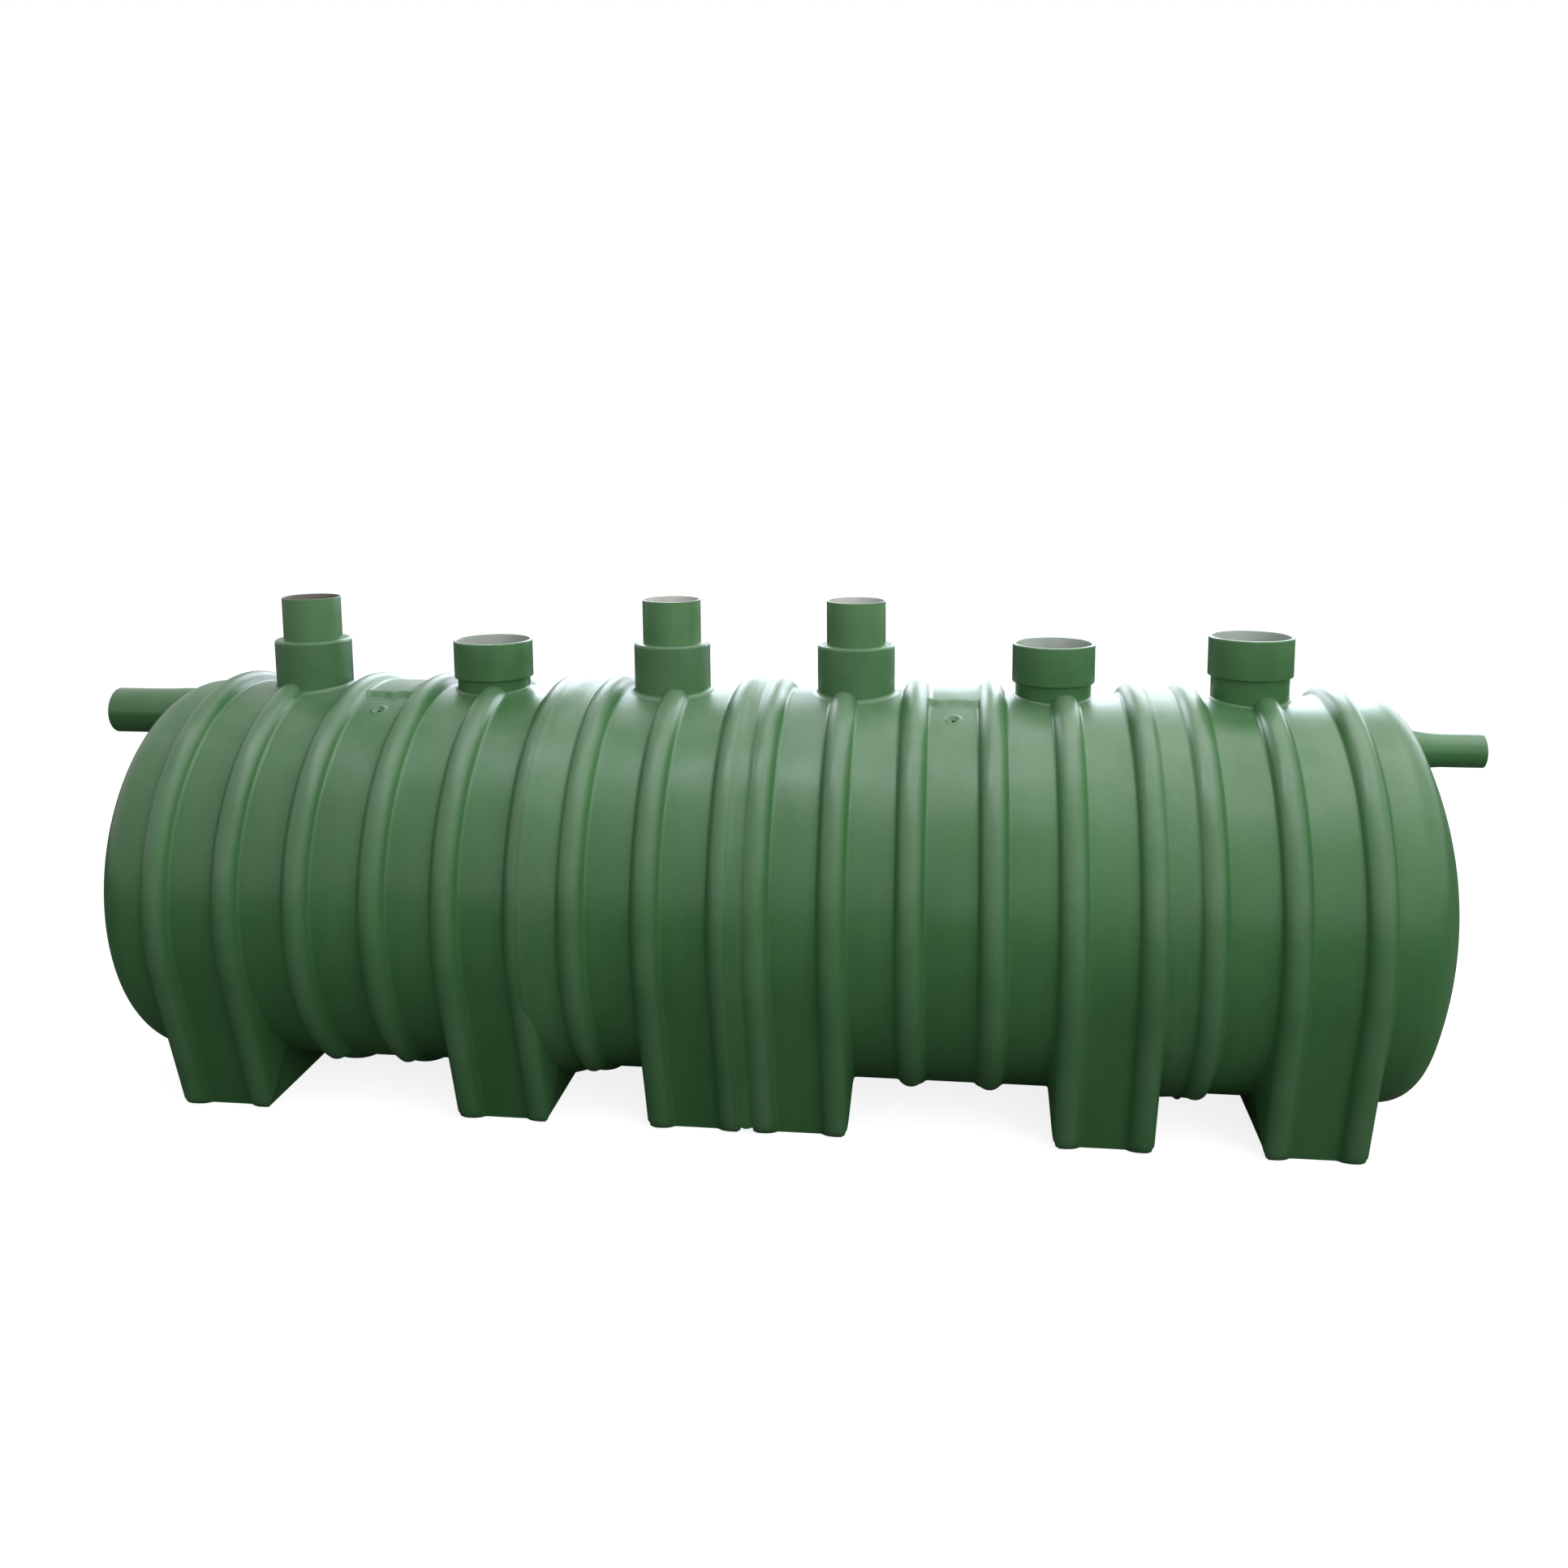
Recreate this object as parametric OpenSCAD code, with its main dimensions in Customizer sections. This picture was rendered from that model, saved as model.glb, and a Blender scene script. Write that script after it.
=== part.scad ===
// Horizontal septic tank of moulded glass-fibre laminate.
// Two long and two short ribbed modules, domed ends, moulded feet, six crown openings.
// X runs along the tank from inlet to outlet, Z is up, the feet rest on Z = 0.

/* [Barrel] */
// Outside radius of the barrel
barrel_r = 660; // [640:1:680]
// Thickness of the laminate
wall = 8; // [6:0.5:10]
// Height of the barrel's underside above the ground
ground_gap = 43; // [42:1:100]

/* [Modules] */
// Distance between neighbouring ribs
rib_pitch = 236.5; // [230:0.5:260]
// Distance between the two ribs beside a lifting pad
lift_bay = 251; // [248:1:290]
// Length of barrel outside a module's last rib
end_stub = 51; // [51:1:70]
// Length of barrel ahead of a short module's first rib
long_stub = 116; // [110:1:160]

/* [Ribs] */
// Height of a rib above the barrel
rib_h = 38; // [30:1:40]
// Width of a rib at the barrel, without its fillets
rib_w = 90; // [84:1:92]
// Radius of the fillet beside a rib
rib_fillet = 12; // [8:1:14]

/* [Joint wraps] */
// Height of the wrap over a joint between two ribs that stand apart
wide_wrap_h = 16; // [10:1:22]
// Height of the wrap that fills the valley between two close ribs
valley_wrap_h = 30; // [24:1:33]

/* [Domed ends] */
// Straight skirt of a dome
dome_skirt = 60; // [50:1:80]
// Radius of a dome's crown
dome_crown_r = 1262; // [1180:1:1320]
// Radius of a dome's knuckle
dome_knuckle_r = 114; // [100:1:130]

/* [Feet] */
// Slope of a foot's sides from the vertical, in degrees
foot_draft = 17; // [15:0.5:19]
// Reach of a foot past the middle of its outer ribs
foot_overhang = 46; // [44:1:47]
// How far a foot's side stands out from the barrel where it is bonded on
foot_lap = 3; // [2.5:0.5:5]

/* [Crown openings] */
// Distance of a crown opening from its rib, towards the middle of its module
turret_shift = 31; // [20:1:40]
// Outside radius of the closed collars
collar_r = 131; // [125:1:136]
// Height of the closed collars above the crown
collar_h = 167; // [150:1:200]
// Outside radius of the riser pipes
riser_r = 100; // [95:1:105]
// Wall of the riser pipes
riser_wall = 5; // [4:0.5:6]
// Height of the riser pipes above their collars
riser_h = 148; // [100:1:300]
// Depth of the riser pipes inside their collars
riser_seat = 60; // [40:1:90]

/* [Sockets] */
// Outside radius of the necks under the sockets and of the pipes that the sockets take
neck_r = 125; // [120:1:130]
// Wall of the sockets
socket_wall = 11; // [8:0.5:15]
// Thickness of the stop ring inside a socket
socket_stop = 4; // [3:0.5:8]
// Length of the sockets
socket_len = 130; // [110:1:150]
// Depth at which a pipe comes to rest in a socket
socket_depth = 70; // [50:1:90]
// Height of the second crown opening's rim above the crown
rim_2 = 169; // [150:1:220]
// Height of the fifth crown opening's rim above the crown
rim_5 = 177; // [150:1:220]
// Height of the sixth crown opening's rim above the crown
rim_6 = 207; // [150:1:240]

/* [Pipes] */
// Outside radius of the inlet pipe
inlet_r = 80; // [75:1:85]
// Wall of the inlet pipe
inlet_wall = 4; // [3:0.5:6]
// Depth of the inlet pipe's middle below the crown
inlet_drop = 106; // [100:1:120]
// Reach of the inlet pipe past the first rib
inlet_reach = 487; // [460:1:700]
// Outside radius of the outlet pipe
outlet_r = 55; // [50:1:60]
// Wall of the outlet pipe
outlet_wall = 3.2; // [2.5:0.1:5]
// Depth of the outlet pipe's middle below the crown
outlet_drop = 165; // [150:1:180]
// Reach of the outlet pipe past the last rib
outlet_reach = 475; // [430:1:650]
// Distance from the skirt's end to the end of each pipe inside its dome
pipe_inside = 30; // [10:1:50]
// Length of the inlet pipe that stays free of laminate, for a coupling
inlet_free = 160; // [140:1:165]
// Length of the outlet pipe that stays free of laminate, for a coupling
outlet_free = 120; // [100:1:125]
// Slope of the laminate built up round a pipe, in degrees
seal_slope = 6; // [3:0.5:10]

/* [Lifting pads] */
// Half width of a lifting pad, across the tank
pad_half_w = 66; // [50:1:90]
// Length of a lifting pad, along the tank
pad_len = 130; // [100:1:136]
// Thickness of a lifting pad
pad_t = 12; // [8:1:15]
// Angle from the crown to the moulded mark beside each pad
mark_angle = 20.6; // [15:0.1:30]
// Radius of the moulded mark
mark_r = 22; // [15:1:28]

/* [Edges] */
// Radius of the rounded rims of collars and sockets
rim_round = 6; // [3:0.5:7]

/* [Fits] */
// Bonding gap between pieces that are glued or laminated together
bond = 0.3; // [0.2:0.1:0.5]
// How much a pipe is turned down where it is bonded in
seat_cut = 1; // [0.5:0.1:1.5]

/* [Hidden] */
$fn = 96;
green = "#4a7d4c";
pale_green = "#5b8a5a";

// Heights of the axes
axis_height = ground_gap + barrel_r;
inlet_rise = barrel_r - inlet_drop;
outlet_rise = barrel_r - outlet_drop;

// Places along the tank
long_len = 2 * end_stub + 4 * rib_pitch + lift_bay;
short_len = long_stub + 2 * rib_pitch + end_stub;
long_ribs = [for (i = [0:5]) end_stub + i * rib_pitch + (i > 2 ? lift_bay - rib_pitch : 0)];
short_ribs = [for (i = [0:2]) long_stub + i * rib_pitch];
barrel_len = 2 * long_len + 2 * short_len;
tank_len = inlet_reach + barrel_len - 2 * end_stub + outlet_reach;
start_a = -tank_len / 2 + inlet_reach - end_stub;
start_b = start_a + long_len;
start_c = start_b + short_len;
start_d = start_c + long_len;
end_d = start_d + short_len;

// Which ribs of a module run down into a foot
long_footed = [true, true, false, false, true, true];
short_footed = [false, true, true];

// Middle of each crown opening
turret_x = [
    start_a + long_ribs[1] + turret_shift,
    start_a + long_ribs[4] - turret_shift,
    start_b + short_ribs[1] - turret_shift,
    start_c + long_ribs[1] + turret_shift,
    start_c + long_ribs[4] - turret_shift,
    start_d + short_ribs[1] - turret_shift
];
turret_r = [collar_r, neck_r, collar_r, collar_r, neck_r, neck_r];

// A rib is a round of radius rib_round whose centre lies rib_drop under the barrel
rib_round = (rib_h * rib_h + rib_w * rib_w / 4) / (2 * rib_h);
rib_drop = rib_round - rib_h;
rib_toe = sqrt(pow(rib_round + rib_fillet, 2) - pow(rib_fillet + rib_drop, 2));
rib_turn = atan2(rib_fillet + rib_drop, rib_toe);
fillet_steps = 3;
round_steps = 8;
rib_root = wall / 2;
rib_settle = 1;
sweep = 180 + 2 * foot_draft;
beyond = 10;

// One flank of a rib as [offset along the tank, height], from its toe to where the round starts
function flank_fillet() = [
    for (i = [0:fillet_steps])
        let (a = -90 - i * (90 - rib_turn) / fillet_steps)
            [rib_toe + rib_fillet * cos(a), rib_fillet + rib_fillet * sin(a)]
];

// The flank's round from its start up to height h
function flank_round(h) = [
    for (i = [1:3])
        let (a = rib_turn + i / 3 * (asin((h + rib_drop) / rib_round) - rib_turn))
            [rib_round * cos(a), rib_round * sin(a) - rib_drop]
];

function flank(h) = concat(flank_fillet(), flank_round(h));

// The whole rib as [offset along the tank, height], from one toe to the other
function rib_line() = concat(
    flank_fillet(),
    [for (i = [1:round_steps - 1])
        let (a = rib_turn + i * (180 - 2 * rib_turn) / round_steps)
            [rib_round * cos(a), rib_round * sin(a) - rib_drop]],
    [for (i = [fillet_steps:-1:0]) let (p = flank_fillet()[i]) [-p[0], p[1]]]
);

// Sets a shape drawn round Z on the barrel's axis; its X axis then points down
module on_axis(x = 0) {
    translate([x, 0, axis_height]) rotate([0, 90, 0]) children();
}

// A plain cylinder on the barrel's axis
module axial(x0, x1, r) {
    on_axis(x0) cylinder(r = r, h = x1 - x0);
}

// The rib's outline with its root sunk to the given depth, as [radius, offset]
module rib_outline(root) {
    line = rib_line();
    polygon(concat(
        [[barrel_r - root, rib_toe]],
        [for (p = line) [barrel_r + p[1] - rib_settle, p[0]]],
        [[barrel_r - root, -rib_toe]]
    ));
}

module full_rib(x) {
    on_axis(x) rotate_extrude() rib_outline(rib_root);
}

// The hoop of a rib that runs down into a foot ends where the foot's sides begin
module arched_rib(x) {
    on_axis(x) rotate([0, 0, 90 - foot_draft]) rotate_extrude(angle = sweep) rib_outline(rib_root);
}

// One moulded module with its ribs; the footed ribs stop above the feet
module shell(x0, length, ribs, footed, openings) {
    difference() {
        union() {
            axial(x0, x0 + length, barrel_r);
            for (i = [0:len(ribs) - 1])
                if (footed[i]) arched_rib(x0 + ribs[i]);
                else full_rib(x0 + ribs[i]);
            if (len(ribs) > 3)
                for (side = [-1, 1])
                    mark(x0 + (ribs[2] + ribs[3]) / 2, side) cylinder(r = mark_r, h = wall / 2 + 3);
        }
        axial(x0 - beyond, x0 + length + beyond, barrel_r - wall);
        for (i = openings) opening_cut(i);
        if (len(ribs) > 3)
            for (side = [-1, 1])
                mark(x0 + (ribs[2] + ribs[3]) / 2, side)
                    translate([0, 0, wall / 2]) cylinder(r = mark_r - 6, h = beyond);
    }
}

// Places a shape on the barrel's surface beside the crown, half a wall deep
module mark(x, side) {
    translate([x, 0, axis_height]) rotate([side * mark_angle, 0, 0])
        translate([0, 0, barrel_r - wall / 2]) children();
}

module opening_cut(i) {
    translate([turret_x[i], 0, axis_height]) cylinder(r = turret_r[i] + bond, h = barrel_r + 2 * rib_h);
}

module shell_a() {
    color(green) shell(start_a, long_len, long_ribs, long_footed, [0, 1]);
}
module shell_b() {
    color(green) shell(start_b, short_len, short_ribs, short_footed, [2]);
}
module shell_c() {
    color(green) shell(start_c, long_len, long_ribs, long_footed, [3, 4]);
}
module shell_d() {
    color(green) shell(start_d, short_len, short_ribs, short_footed, [5]);
}

// Dome: straight skirt, knuckle and crown, drawn as [radius, distance from the skirt's open end]
dome_steps = 8;
knuckle_end = asin((barrel_r - dome_knuckle_r) / (dome_crown_r - dome_knuckle_r));
crown_centre = dome_skirt - (dome_crown_r - dome_knuckle_r) * cos(knuckle_end);
dome_depth = crown_centre + dome_crown_r;

function dome_line(t) = concat(
    [[barrel_r - t, 0]],
    [for (i = [0:dome_steps])
        let (a = 90 - i * (90 - knuckle_end) / dome_steps)
            [barrel_r - dome_knuckle_r + (dome_knuckle_r - t) * sin(a),
             dome_skirt + (dome_knuckle_r - t) * cos(a)]],
    [for (i = [1:dome_steps])
        let (a = knuckle_end * (1 - i / dome_steps))
            [(dome_crown_r - t) * sin(a), crown_centre + (dome_crown_r - t) * cos(a)]]
);

module dome_body() {
    outer = dome_line(0);
    inner = dome_line(wall);
    rotate_extrude()
        polygon(concat(outer, [for (i = [len(inner) - 1:-1:0]) inner[i]]));
}

// Points along -X or +X from the barrel's end
module at_end(x, side) {
    translate([x, 0, axis_height]) rotate([0, side * 90, 0]) children();
}

module inlet_dome() {
    color(green) difference() {
        at_end(start_a, -1) dome_body();
        translate([0, 0, inlet_rise])
            axial(start_a - dome_depth - beyond, start_a, inlet_r - seat_cut + bond);
    }
}

module outlet_dome() {
    color(green) difference() {
        at_end(end_d, 1) dome_body();
        translate([0, 0, outlet_rise])
            axial(end_d, end_d + dome_depth + beyond, outlet_r - seat_cut + bond);
    }
}

// The room that a dome takes up, out to its outer surface
module dome_room() {
    line = dome_line(-bond);
    rotate_extrude() polygon(concat([[0, 0]], line));
}

// Points from a pipe's tip towards the dome that it enters
module from_tip(side, rise) {
    translate([side * tank_len / 2, 0, axis_height + rise]) rotate([0, -side * 90, 0]) children();
}

// Pipe laminated into a dome: free at its tip, then thicker towards the dome, then turned down
module service_pipe(side, rise, reach, r, t, free) {
    base = reach - end_stub;
    seat_end = base - dome_skirt - pipe_inside;
    difference() {
        union() {
            difference() {
                from_tip(side, rise) rotate_extrude() polygon([
                    [0, 0], [r, 0], [r, free],
                    [r + (seat_end - free) * tan(seal_slope), seat_end], [0, seat_end]
                ]);
                at_end(side < 0 ? start_a : end_d, side) dome_room();
            }
            from_tip(side, rise) translate([0, 0, free / 2])
                cylinder(r = r - seat_cut, h = seat_end - free / 2);
        }
        from_tip(side, rise) translate([0, 0, -beyond]) cylinder(r = r - t, h = base + beyond);
    }
}

module inlet_pipe() {
    color(green) service_pipe(-1, inlet_rise, inlet_reach, inlet_r, inlet_wall, inlet_free);
}
module outlet_pipe() {
    color(green) service_pipe(1, outlet_rise, outlet_reach, outlet_r, outlet_wall, outlet_free);
}

// Outline of the laminate between two ribs: xa and xb are the ribs' middles
function wrap_points(xa, xb, h) = concat(
    [for (p = flank(h)) [barrel_r + p[1], xa + p[0] + bond]],
    [for (i = [len(flank(h)) - 1:-1:0]) let (p = flank(h)[i]) [barrel_r + p[1], xb - p[0] - bond]]
);

// Everything under the planes where the hoops end and the legs begin
module below_shoulders(x0, x1) {
    reach = 2 * barrel_r;
    translate([x0, 0, axis_height]) rotate([90, 0, 90]) linear_extrude(height = x1 - x0)
        polygon([
            [0, 0],
            [reach * cos(foot_draft), -reach * sin(foot_draft)],
            [0, -2 * reach],
            [-reach * cos(foot_draft), -reach * sin(foot_draft)]
        ]);
}

// Ring over a wide joint, cut back where a foot's end wall takes the place of the first rib
module wide_wrap(xa, xb) {
    difference() {
        on_axis() rotate_extrude() polygon(wrap_points(xa, xb, wide_wrap_h));
        below_shoulders(xa, xa + foot_overhang + bond);
    }
}

module joint_wrap_ab() {
    color(pale_green) wide_wrap(start_a + long_ribs[5], start_b + short_ribs[0]);
}
module joint_wrap_cd() {
    color(pale_green) wide_wrap(start_c + long_ribs[5], start_d + short_ribs[0]);
}

// Outline of the laminate in the valley between the two close ribs
module valley_outline() {
    xa = start_b + short_ribs[2];
    xb = start_c + long_ribs[0];
    valley = [for (p = flank(valley_wrap_h)) if (p[0] <= end_stub - 2 * bond) p];
    polygon(concat(
        [for (p = valley) [barrel_r + p[1], xa + p[0] + bond]],
        [for (i = [len(valley) - 1:-1:0]) let (p = valley[i]) [barrel_r + p[1], xb - p[0] - bond]]
    ));
}

// Over the crown the valley's laminate follows the hoops
module joint_wrap_bc() {
    color(pale_green) on_axis() rotate([0, 0, 90 - foot_draft]) rotate_extrude(angle = sweep)
        valley_outline();
}

// Down the feet it runs straight, as one strip on each side of the tank
module joint_strip(side) {
    color(pale_green) difference() {
        leg_run(side) valley_outline();
        ground();
    }
}

module joint_strip_back() { joint_strip(1); }
module joint_strip_front() { joint_strip(-1); }

// Runs an outline of [radius, place] straight down a foot's side, past the ground
leg_len = axis_height;
module leg_run(side) {
    start = side > 0 ? 90 - foot_draft : 270 + foot_draft;
    on_axis() rotate([0, 0, start]) translate([0, side > 0 ? 0 : leg_len, 0]) rotate([90, 0, 0])
        linear_extrude(height = leg_len) children();
}

module ground() {
    translate([-tank_len, -tank_len, -tank_len]) cube([2 * tank_len, 2 * tank_len, tank_len]);
}

// Half width of a foot's side at height z, when the side lies at distance d from the axis
function side_at(d, z) = (d - (axis_height - z) * sin(foot_draft)) / cos(foot_draft);

// Foot's outline with its sides at distance d from the axis and its floor at height z.
// It ends inside the barrel, drop below the plane where the ribs' hoops end.
function foot_outline(d, z, drop) =
    let (top = axis_height - d * sin(foot_draft) - drop,
         inset = 4 * wall)
    [
        [-side_at(d, z), z], [side_at(d, z), z],
        [side_at(d, top), top],
        [(d - inset) * cos(foot_draft), axis_height - (d - inset) * sin(foot_draft) - drop],
        [-(d - inset) * cos(foot_draft), axis_height - (d - inset) * sin(foot_draft) - drop],
        [-side_at(d, top), top]
    ];

module foot_prism(x0, x1, d, z, drop) {
    translate([x0, 0, 0]) rotate([90, 0, 90]) linear_extrude(height = x1 - x0)
        polygon(foot_outline(d, z, drop));
}

// Hollow foot under two ribs, with each rib's straight legs on its sides
module foot(xa, xb) {
    x0 = xa - foot_overhang;
    x1 = xb + foot_overhang;
    side = barrel_r + foot_lap;
    difference() {
        foot_prism(x0, x1, side, 0, 0);
        foot_prism(x0 + wall, x1 - wall, side - wall, wall, wall);
        axial(x0 - beyond, x1 + beyond, barrel_r + bond);
    }
    for (x = [xa, xb], side = [-1, 1])
        difference() {
            leg_run(side) translate([0, x]) leg_outline();
            ground();
        }
}

// The part of a rib's outline that stands out of a foot's side
module leg_outline() {
    line = [for (p = rib_line()) if (abs(p[0]) <= foot_overhang) p];
    root = barrel_r + foot_lap / 2;
    polygon(concat(
        [[root, line[0][0]]],
        [for (p = line) [barrel_r + p[1] - rib_settle, p[0]]],
        [[root, -line[0][0]]]
    ));
}

module foot_1() { color(green) foot(start_a + long_ribs[0], start_a + long_ribs[1]); }
module foot_2() { color(green) foot(start_a + long_ribs[4], start_a + long_ribs[5]); }
module foot_3() { color(green) foot(start_b + short_ribs[1], start_b + short_ribs[2]); }
module foot_4() { color(green) foot(start_c + long_ribs[0], start_c + long_ribs[1]); }
module foot_5() { color(green) foot(start_c + long_ribs[4], start_c + long_ribs[5]); }
module foot_6() { color(green) foot(start_d + short_ribs[1], start_d + short_ribs[2]); }

// Stands a shape on the barrel's axis under a crown opening
module at_opening(i) {
    translate([turret_x[i], 0, axis_height]) children();
}

// Cuts a shape flush with the inside of the barrel
module trimmed_inside(i, r) {
    difference() {
        children();
        axial(turret_x[i] - r - beyond, turret_x[i] + r + beyond, barrel_r - wall);
    }
}

// Quarter round at an outer top corner, as [radius, height]
function top_round(r, top) = [
    for (i = [0:round_steps / 2])
        let (a = 180 * i / round_steps)
            [r - rim_round + rim_round * cos(a), top - rim_round + rim_round * sin(a)]
];

// Collar: an upright tube closed by a ledge that holds the riser
module collar(i) {
    top = barrel_r + collar_h;
    seat_r = riser_r - seat_cut + bond;
    trimmed_inside(i, collar_r) at_opening(i) rotate_extrude()
        polygon(concat(
            [[collar_r - wall, 0], [collar_r, 0]],
            top_round(collar_r, top),
            [[seat_r, top], [seat_r, top - wall], [collar_r - wall, top - wall]]
        ));
}

// Riser: a pipe whose turned-down end sits in the collar's ledge
module riser(i) {
    inner = riser_r - riser_wall;
    at_opening(i) translate([0, 0, barrel_r + collar_h]) rotate_extrude()
        polygon([
            [inner, -riser_seat], [riser_r - seat_cut, -riser_seat], [riser_r - seat_cut, bond],
            [riser_r, bond], [riser_r, riser_h], [inner, riser_h]
        ]);
}

// Neck: a plain pipe end that stops inside its socket
module neck(i, rim) {
    top = barrel_r + rim - socket_depth - socket_stop;
    trimmed_inside(i, neck_r) at_opening(i) difference() {
        cylinder(r = neck_r, h = top);
        translate([0, 0, -beyond]) cylinder(r = neck_r - wall, h = top + 2 * beyond);
    }
}

// Socket: a sleeve over the neck with a stop ring inside and a rounded rim
module socket(i, rim) {
    outer = neck_r + bond + socket_wall;
    at_opening(i) translate([0, 0, barrel_r + rim - socket_len]) difference() {
        rotate_extrude() polygon(concat([[0, 0], [outer, 0]], top_round(outer, socket_len), [[0, socket_len]]));
        translate([0, 0, -beyond])
            cylinder(r = neck_r + bond, h = socket_len - socket_depth - socket_stop + beyond);
        cylinder(r = neck_r - wall, h = socket_len);
        translate([0, 0, socket_len - socket_depth]) cylinder(r = neck_r + bond, h = socket_depth + beyond);
    }
}

module collar_1() { color(green) collar(0); }
module collar_3() { color(green) collar(2); }
module collar_4() { color(green) collar(3); }
module riser_1() { color(green) riser(0); }
module riser_3() { color(green) riser(2); }
module riser_4() { color(green) riser(3); }
module neck_2() { color(green) neck(1, rim_2); }
module neck_5() { color(green) neck(4, rim_5); }
module neck_6() { color(green) neck(5, rim_6); }
module socket_2() { color(green) socket(1, rim_2); }
module socket_5() { color(green) socket(4, rim_5); }
module socket_6() { color(green) socket(5, rim_6); }

// Curved plate on the crown between the two ribs of a lifting bay
module lifting_pad(x) {
    spread = asin(pad_half_w / barrel_r);
    on_axis(x - pad_len / 2) rotate([0, 0, 180 - spread]) rotate_extrude(angle = 2 * spread)
        translate([barrel_r, 0]) square([pad_t, pad_len]);
}

module lifting_pad_a() { color(green) lifting_pad(start_a + (long_ribs[2] + long_ribs[3]) / 2); }
module lifting_pad_c() { color(green) lifting_pad(start_c + (long_ribs[2] + long_ribs[3]) / 2); }

inlet_dome();
shell_a();
shell_b();
shell_c();
shell_d();
outlet_dome();
joint_wrap_ab();
joint_wrap_bc();
joint_wrap_cd();
joint_strip_front();
joint_strip_back();
foot_1();
foot_2();
foot_3();
foot_4();
foot_5();
foot_6();
collar_1();
collar_3();
collar_4();
riser_1();
riser_3();
riser_4();
neck_2();
neck_5();
neck_6();
socket_2();
socket_5();
socket_6();
inlet_pipe();
outlet_pipe();
lifting_pad_a();
lifting_pad_c();
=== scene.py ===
# %% [markdown]
# # A ribbed septic tank in green moulded laminate
# The tank is made of four ribbed modules, two domed ends, six crown openings and two pipes.
# The CAD model is loaded first and stays where it is. Every finer skin built below takes the
# place of a CAD node, in metres, in the same frame: X along the tank, Z up, feet on Z = 0.

# %% Load the fixed frame
import math

import bmesh
import bpy
import numpy as np
from mathutils import Matrix, Vector


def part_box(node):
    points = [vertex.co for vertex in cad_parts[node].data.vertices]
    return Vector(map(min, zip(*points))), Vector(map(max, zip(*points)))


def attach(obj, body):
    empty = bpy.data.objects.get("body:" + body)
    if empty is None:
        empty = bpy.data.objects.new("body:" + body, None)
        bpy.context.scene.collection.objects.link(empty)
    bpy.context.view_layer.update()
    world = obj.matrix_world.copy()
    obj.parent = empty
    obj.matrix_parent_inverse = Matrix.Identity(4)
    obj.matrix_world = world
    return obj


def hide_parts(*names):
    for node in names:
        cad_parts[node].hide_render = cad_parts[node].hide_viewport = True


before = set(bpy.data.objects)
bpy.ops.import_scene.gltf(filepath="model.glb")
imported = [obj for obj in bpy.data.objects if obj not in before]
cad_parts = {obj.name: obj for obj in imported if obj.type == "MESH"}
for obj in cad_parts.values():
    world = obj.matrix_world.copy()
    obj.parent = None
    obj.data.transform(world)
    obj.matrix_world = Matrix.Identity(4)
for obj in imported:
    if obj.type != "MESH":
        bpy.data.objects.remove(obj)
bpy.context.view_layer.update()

# %% [markdown]
# ## Sizes
# The moulds come in fixed sizes, so a few named lengths set the whole tank. The places along
# the tank come from the CAD nodes' boxes, and the rest are the mould's own measures.

# %% Named sizes, in metres
BARREL_R = 0.660
AXIS_Z = 0.703
WALL = 0.008
RIB_PITCH = 0.2365
LIFT_BAY = 0.251
END_STUB = 0.051
LONG_STUB = 0.116
RIB_H = 0.038
RIB_W = 0.090
RIB_FILLET = 0.012
RIB_SETTLE = 0.001
DRAFT = math.radians(17)
FOOT_OVERHANG = 0.046
LONG_LEN = 2 * END_STUB + 4 * RIB_PITCH + LIFT_BAY
SHORT_LEN = LONG_STUB + 2 * RIB_PITCH + END_STUB
START_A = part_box("inlet_dome")[1].x
START_B = START_A + LONG_LEN
START_C = START_B + SHORT_LEN
START_D = START_C + LONG_LEN
END_D = START_D + SHORT_LEN
TANK_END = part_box("outlet_pipe")[1].x
print("module starts", [round(x, 4) for x in (START_A, START_B, START_C, START_D, END_D)])

# %% [markdown]
# ## Camera
# The camera stands in front of the tank, a little to the right and above, with a normal lens.

# %% Camera
camera_data = bpy.data.cameras.new("camera")
camera = bpy.data.objects.new("camera", camera_data)
bpy.context.scene.collection.objects.link(camera)
camera.location = (0.6704, -4.7359, 2.2410)
camera.rotation_euler = [math.radians(a) for a in (82.0864, 0.4013, 6.8744)]
camera_data.sensor_width = 36
camera_data.lens = 32.3648
camera_data.shift_x = -0.00327
camera_data.shift_y = -0.0988
camera_data.clip_end = 200
bpy.context.scene.camera = camera
print("camera", camera_data.lens, "mm, at", tuple(camera.location))

# %% [markdown]
# ## Node helpers
# A finish is a small graph of nodes. These helpers add a node, set it and wire it in one line,
# so that each finish below reads as a list of what is laid over what.

# %% Helpers for node graphs
def add(tree, kind, out=0, **settings):
    """Adds a node. Settings named by a socket are set or wired, and the others are properties."""
    node = tree.nodes.new(kind)
    for key, value in settings.items():
        if key in node.bl_rna.properties:
            setattr(node, key, value)
    for key, value in settings.items():
        if key in node.bl_rna.properties:
            continue
        by_number = key[0] == "i" and key[1:].isdigit()
        put(tree, node.inputs[int(key[1:]) if by_number else key], value)
    return node.outputs[out] if node.outputs else node


def put(tree, socket, value):
    """Wires a socket to another node's output, or writes the value on it."""
    if isinstance(value, bpy.types.NodeSocket):
        tree.links.new(value, socket)
    else:
        socket.default_value = value


def calc(tree, operation, *values):
    """One step of arithmetic."""
    node = tree.nodes.new("ShaderNodeMath")
    node.operation = operation
    for socket, value in zip(node.inputs, values):
        put(tree, socket, value)
    return node.outputs[0]


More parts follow.
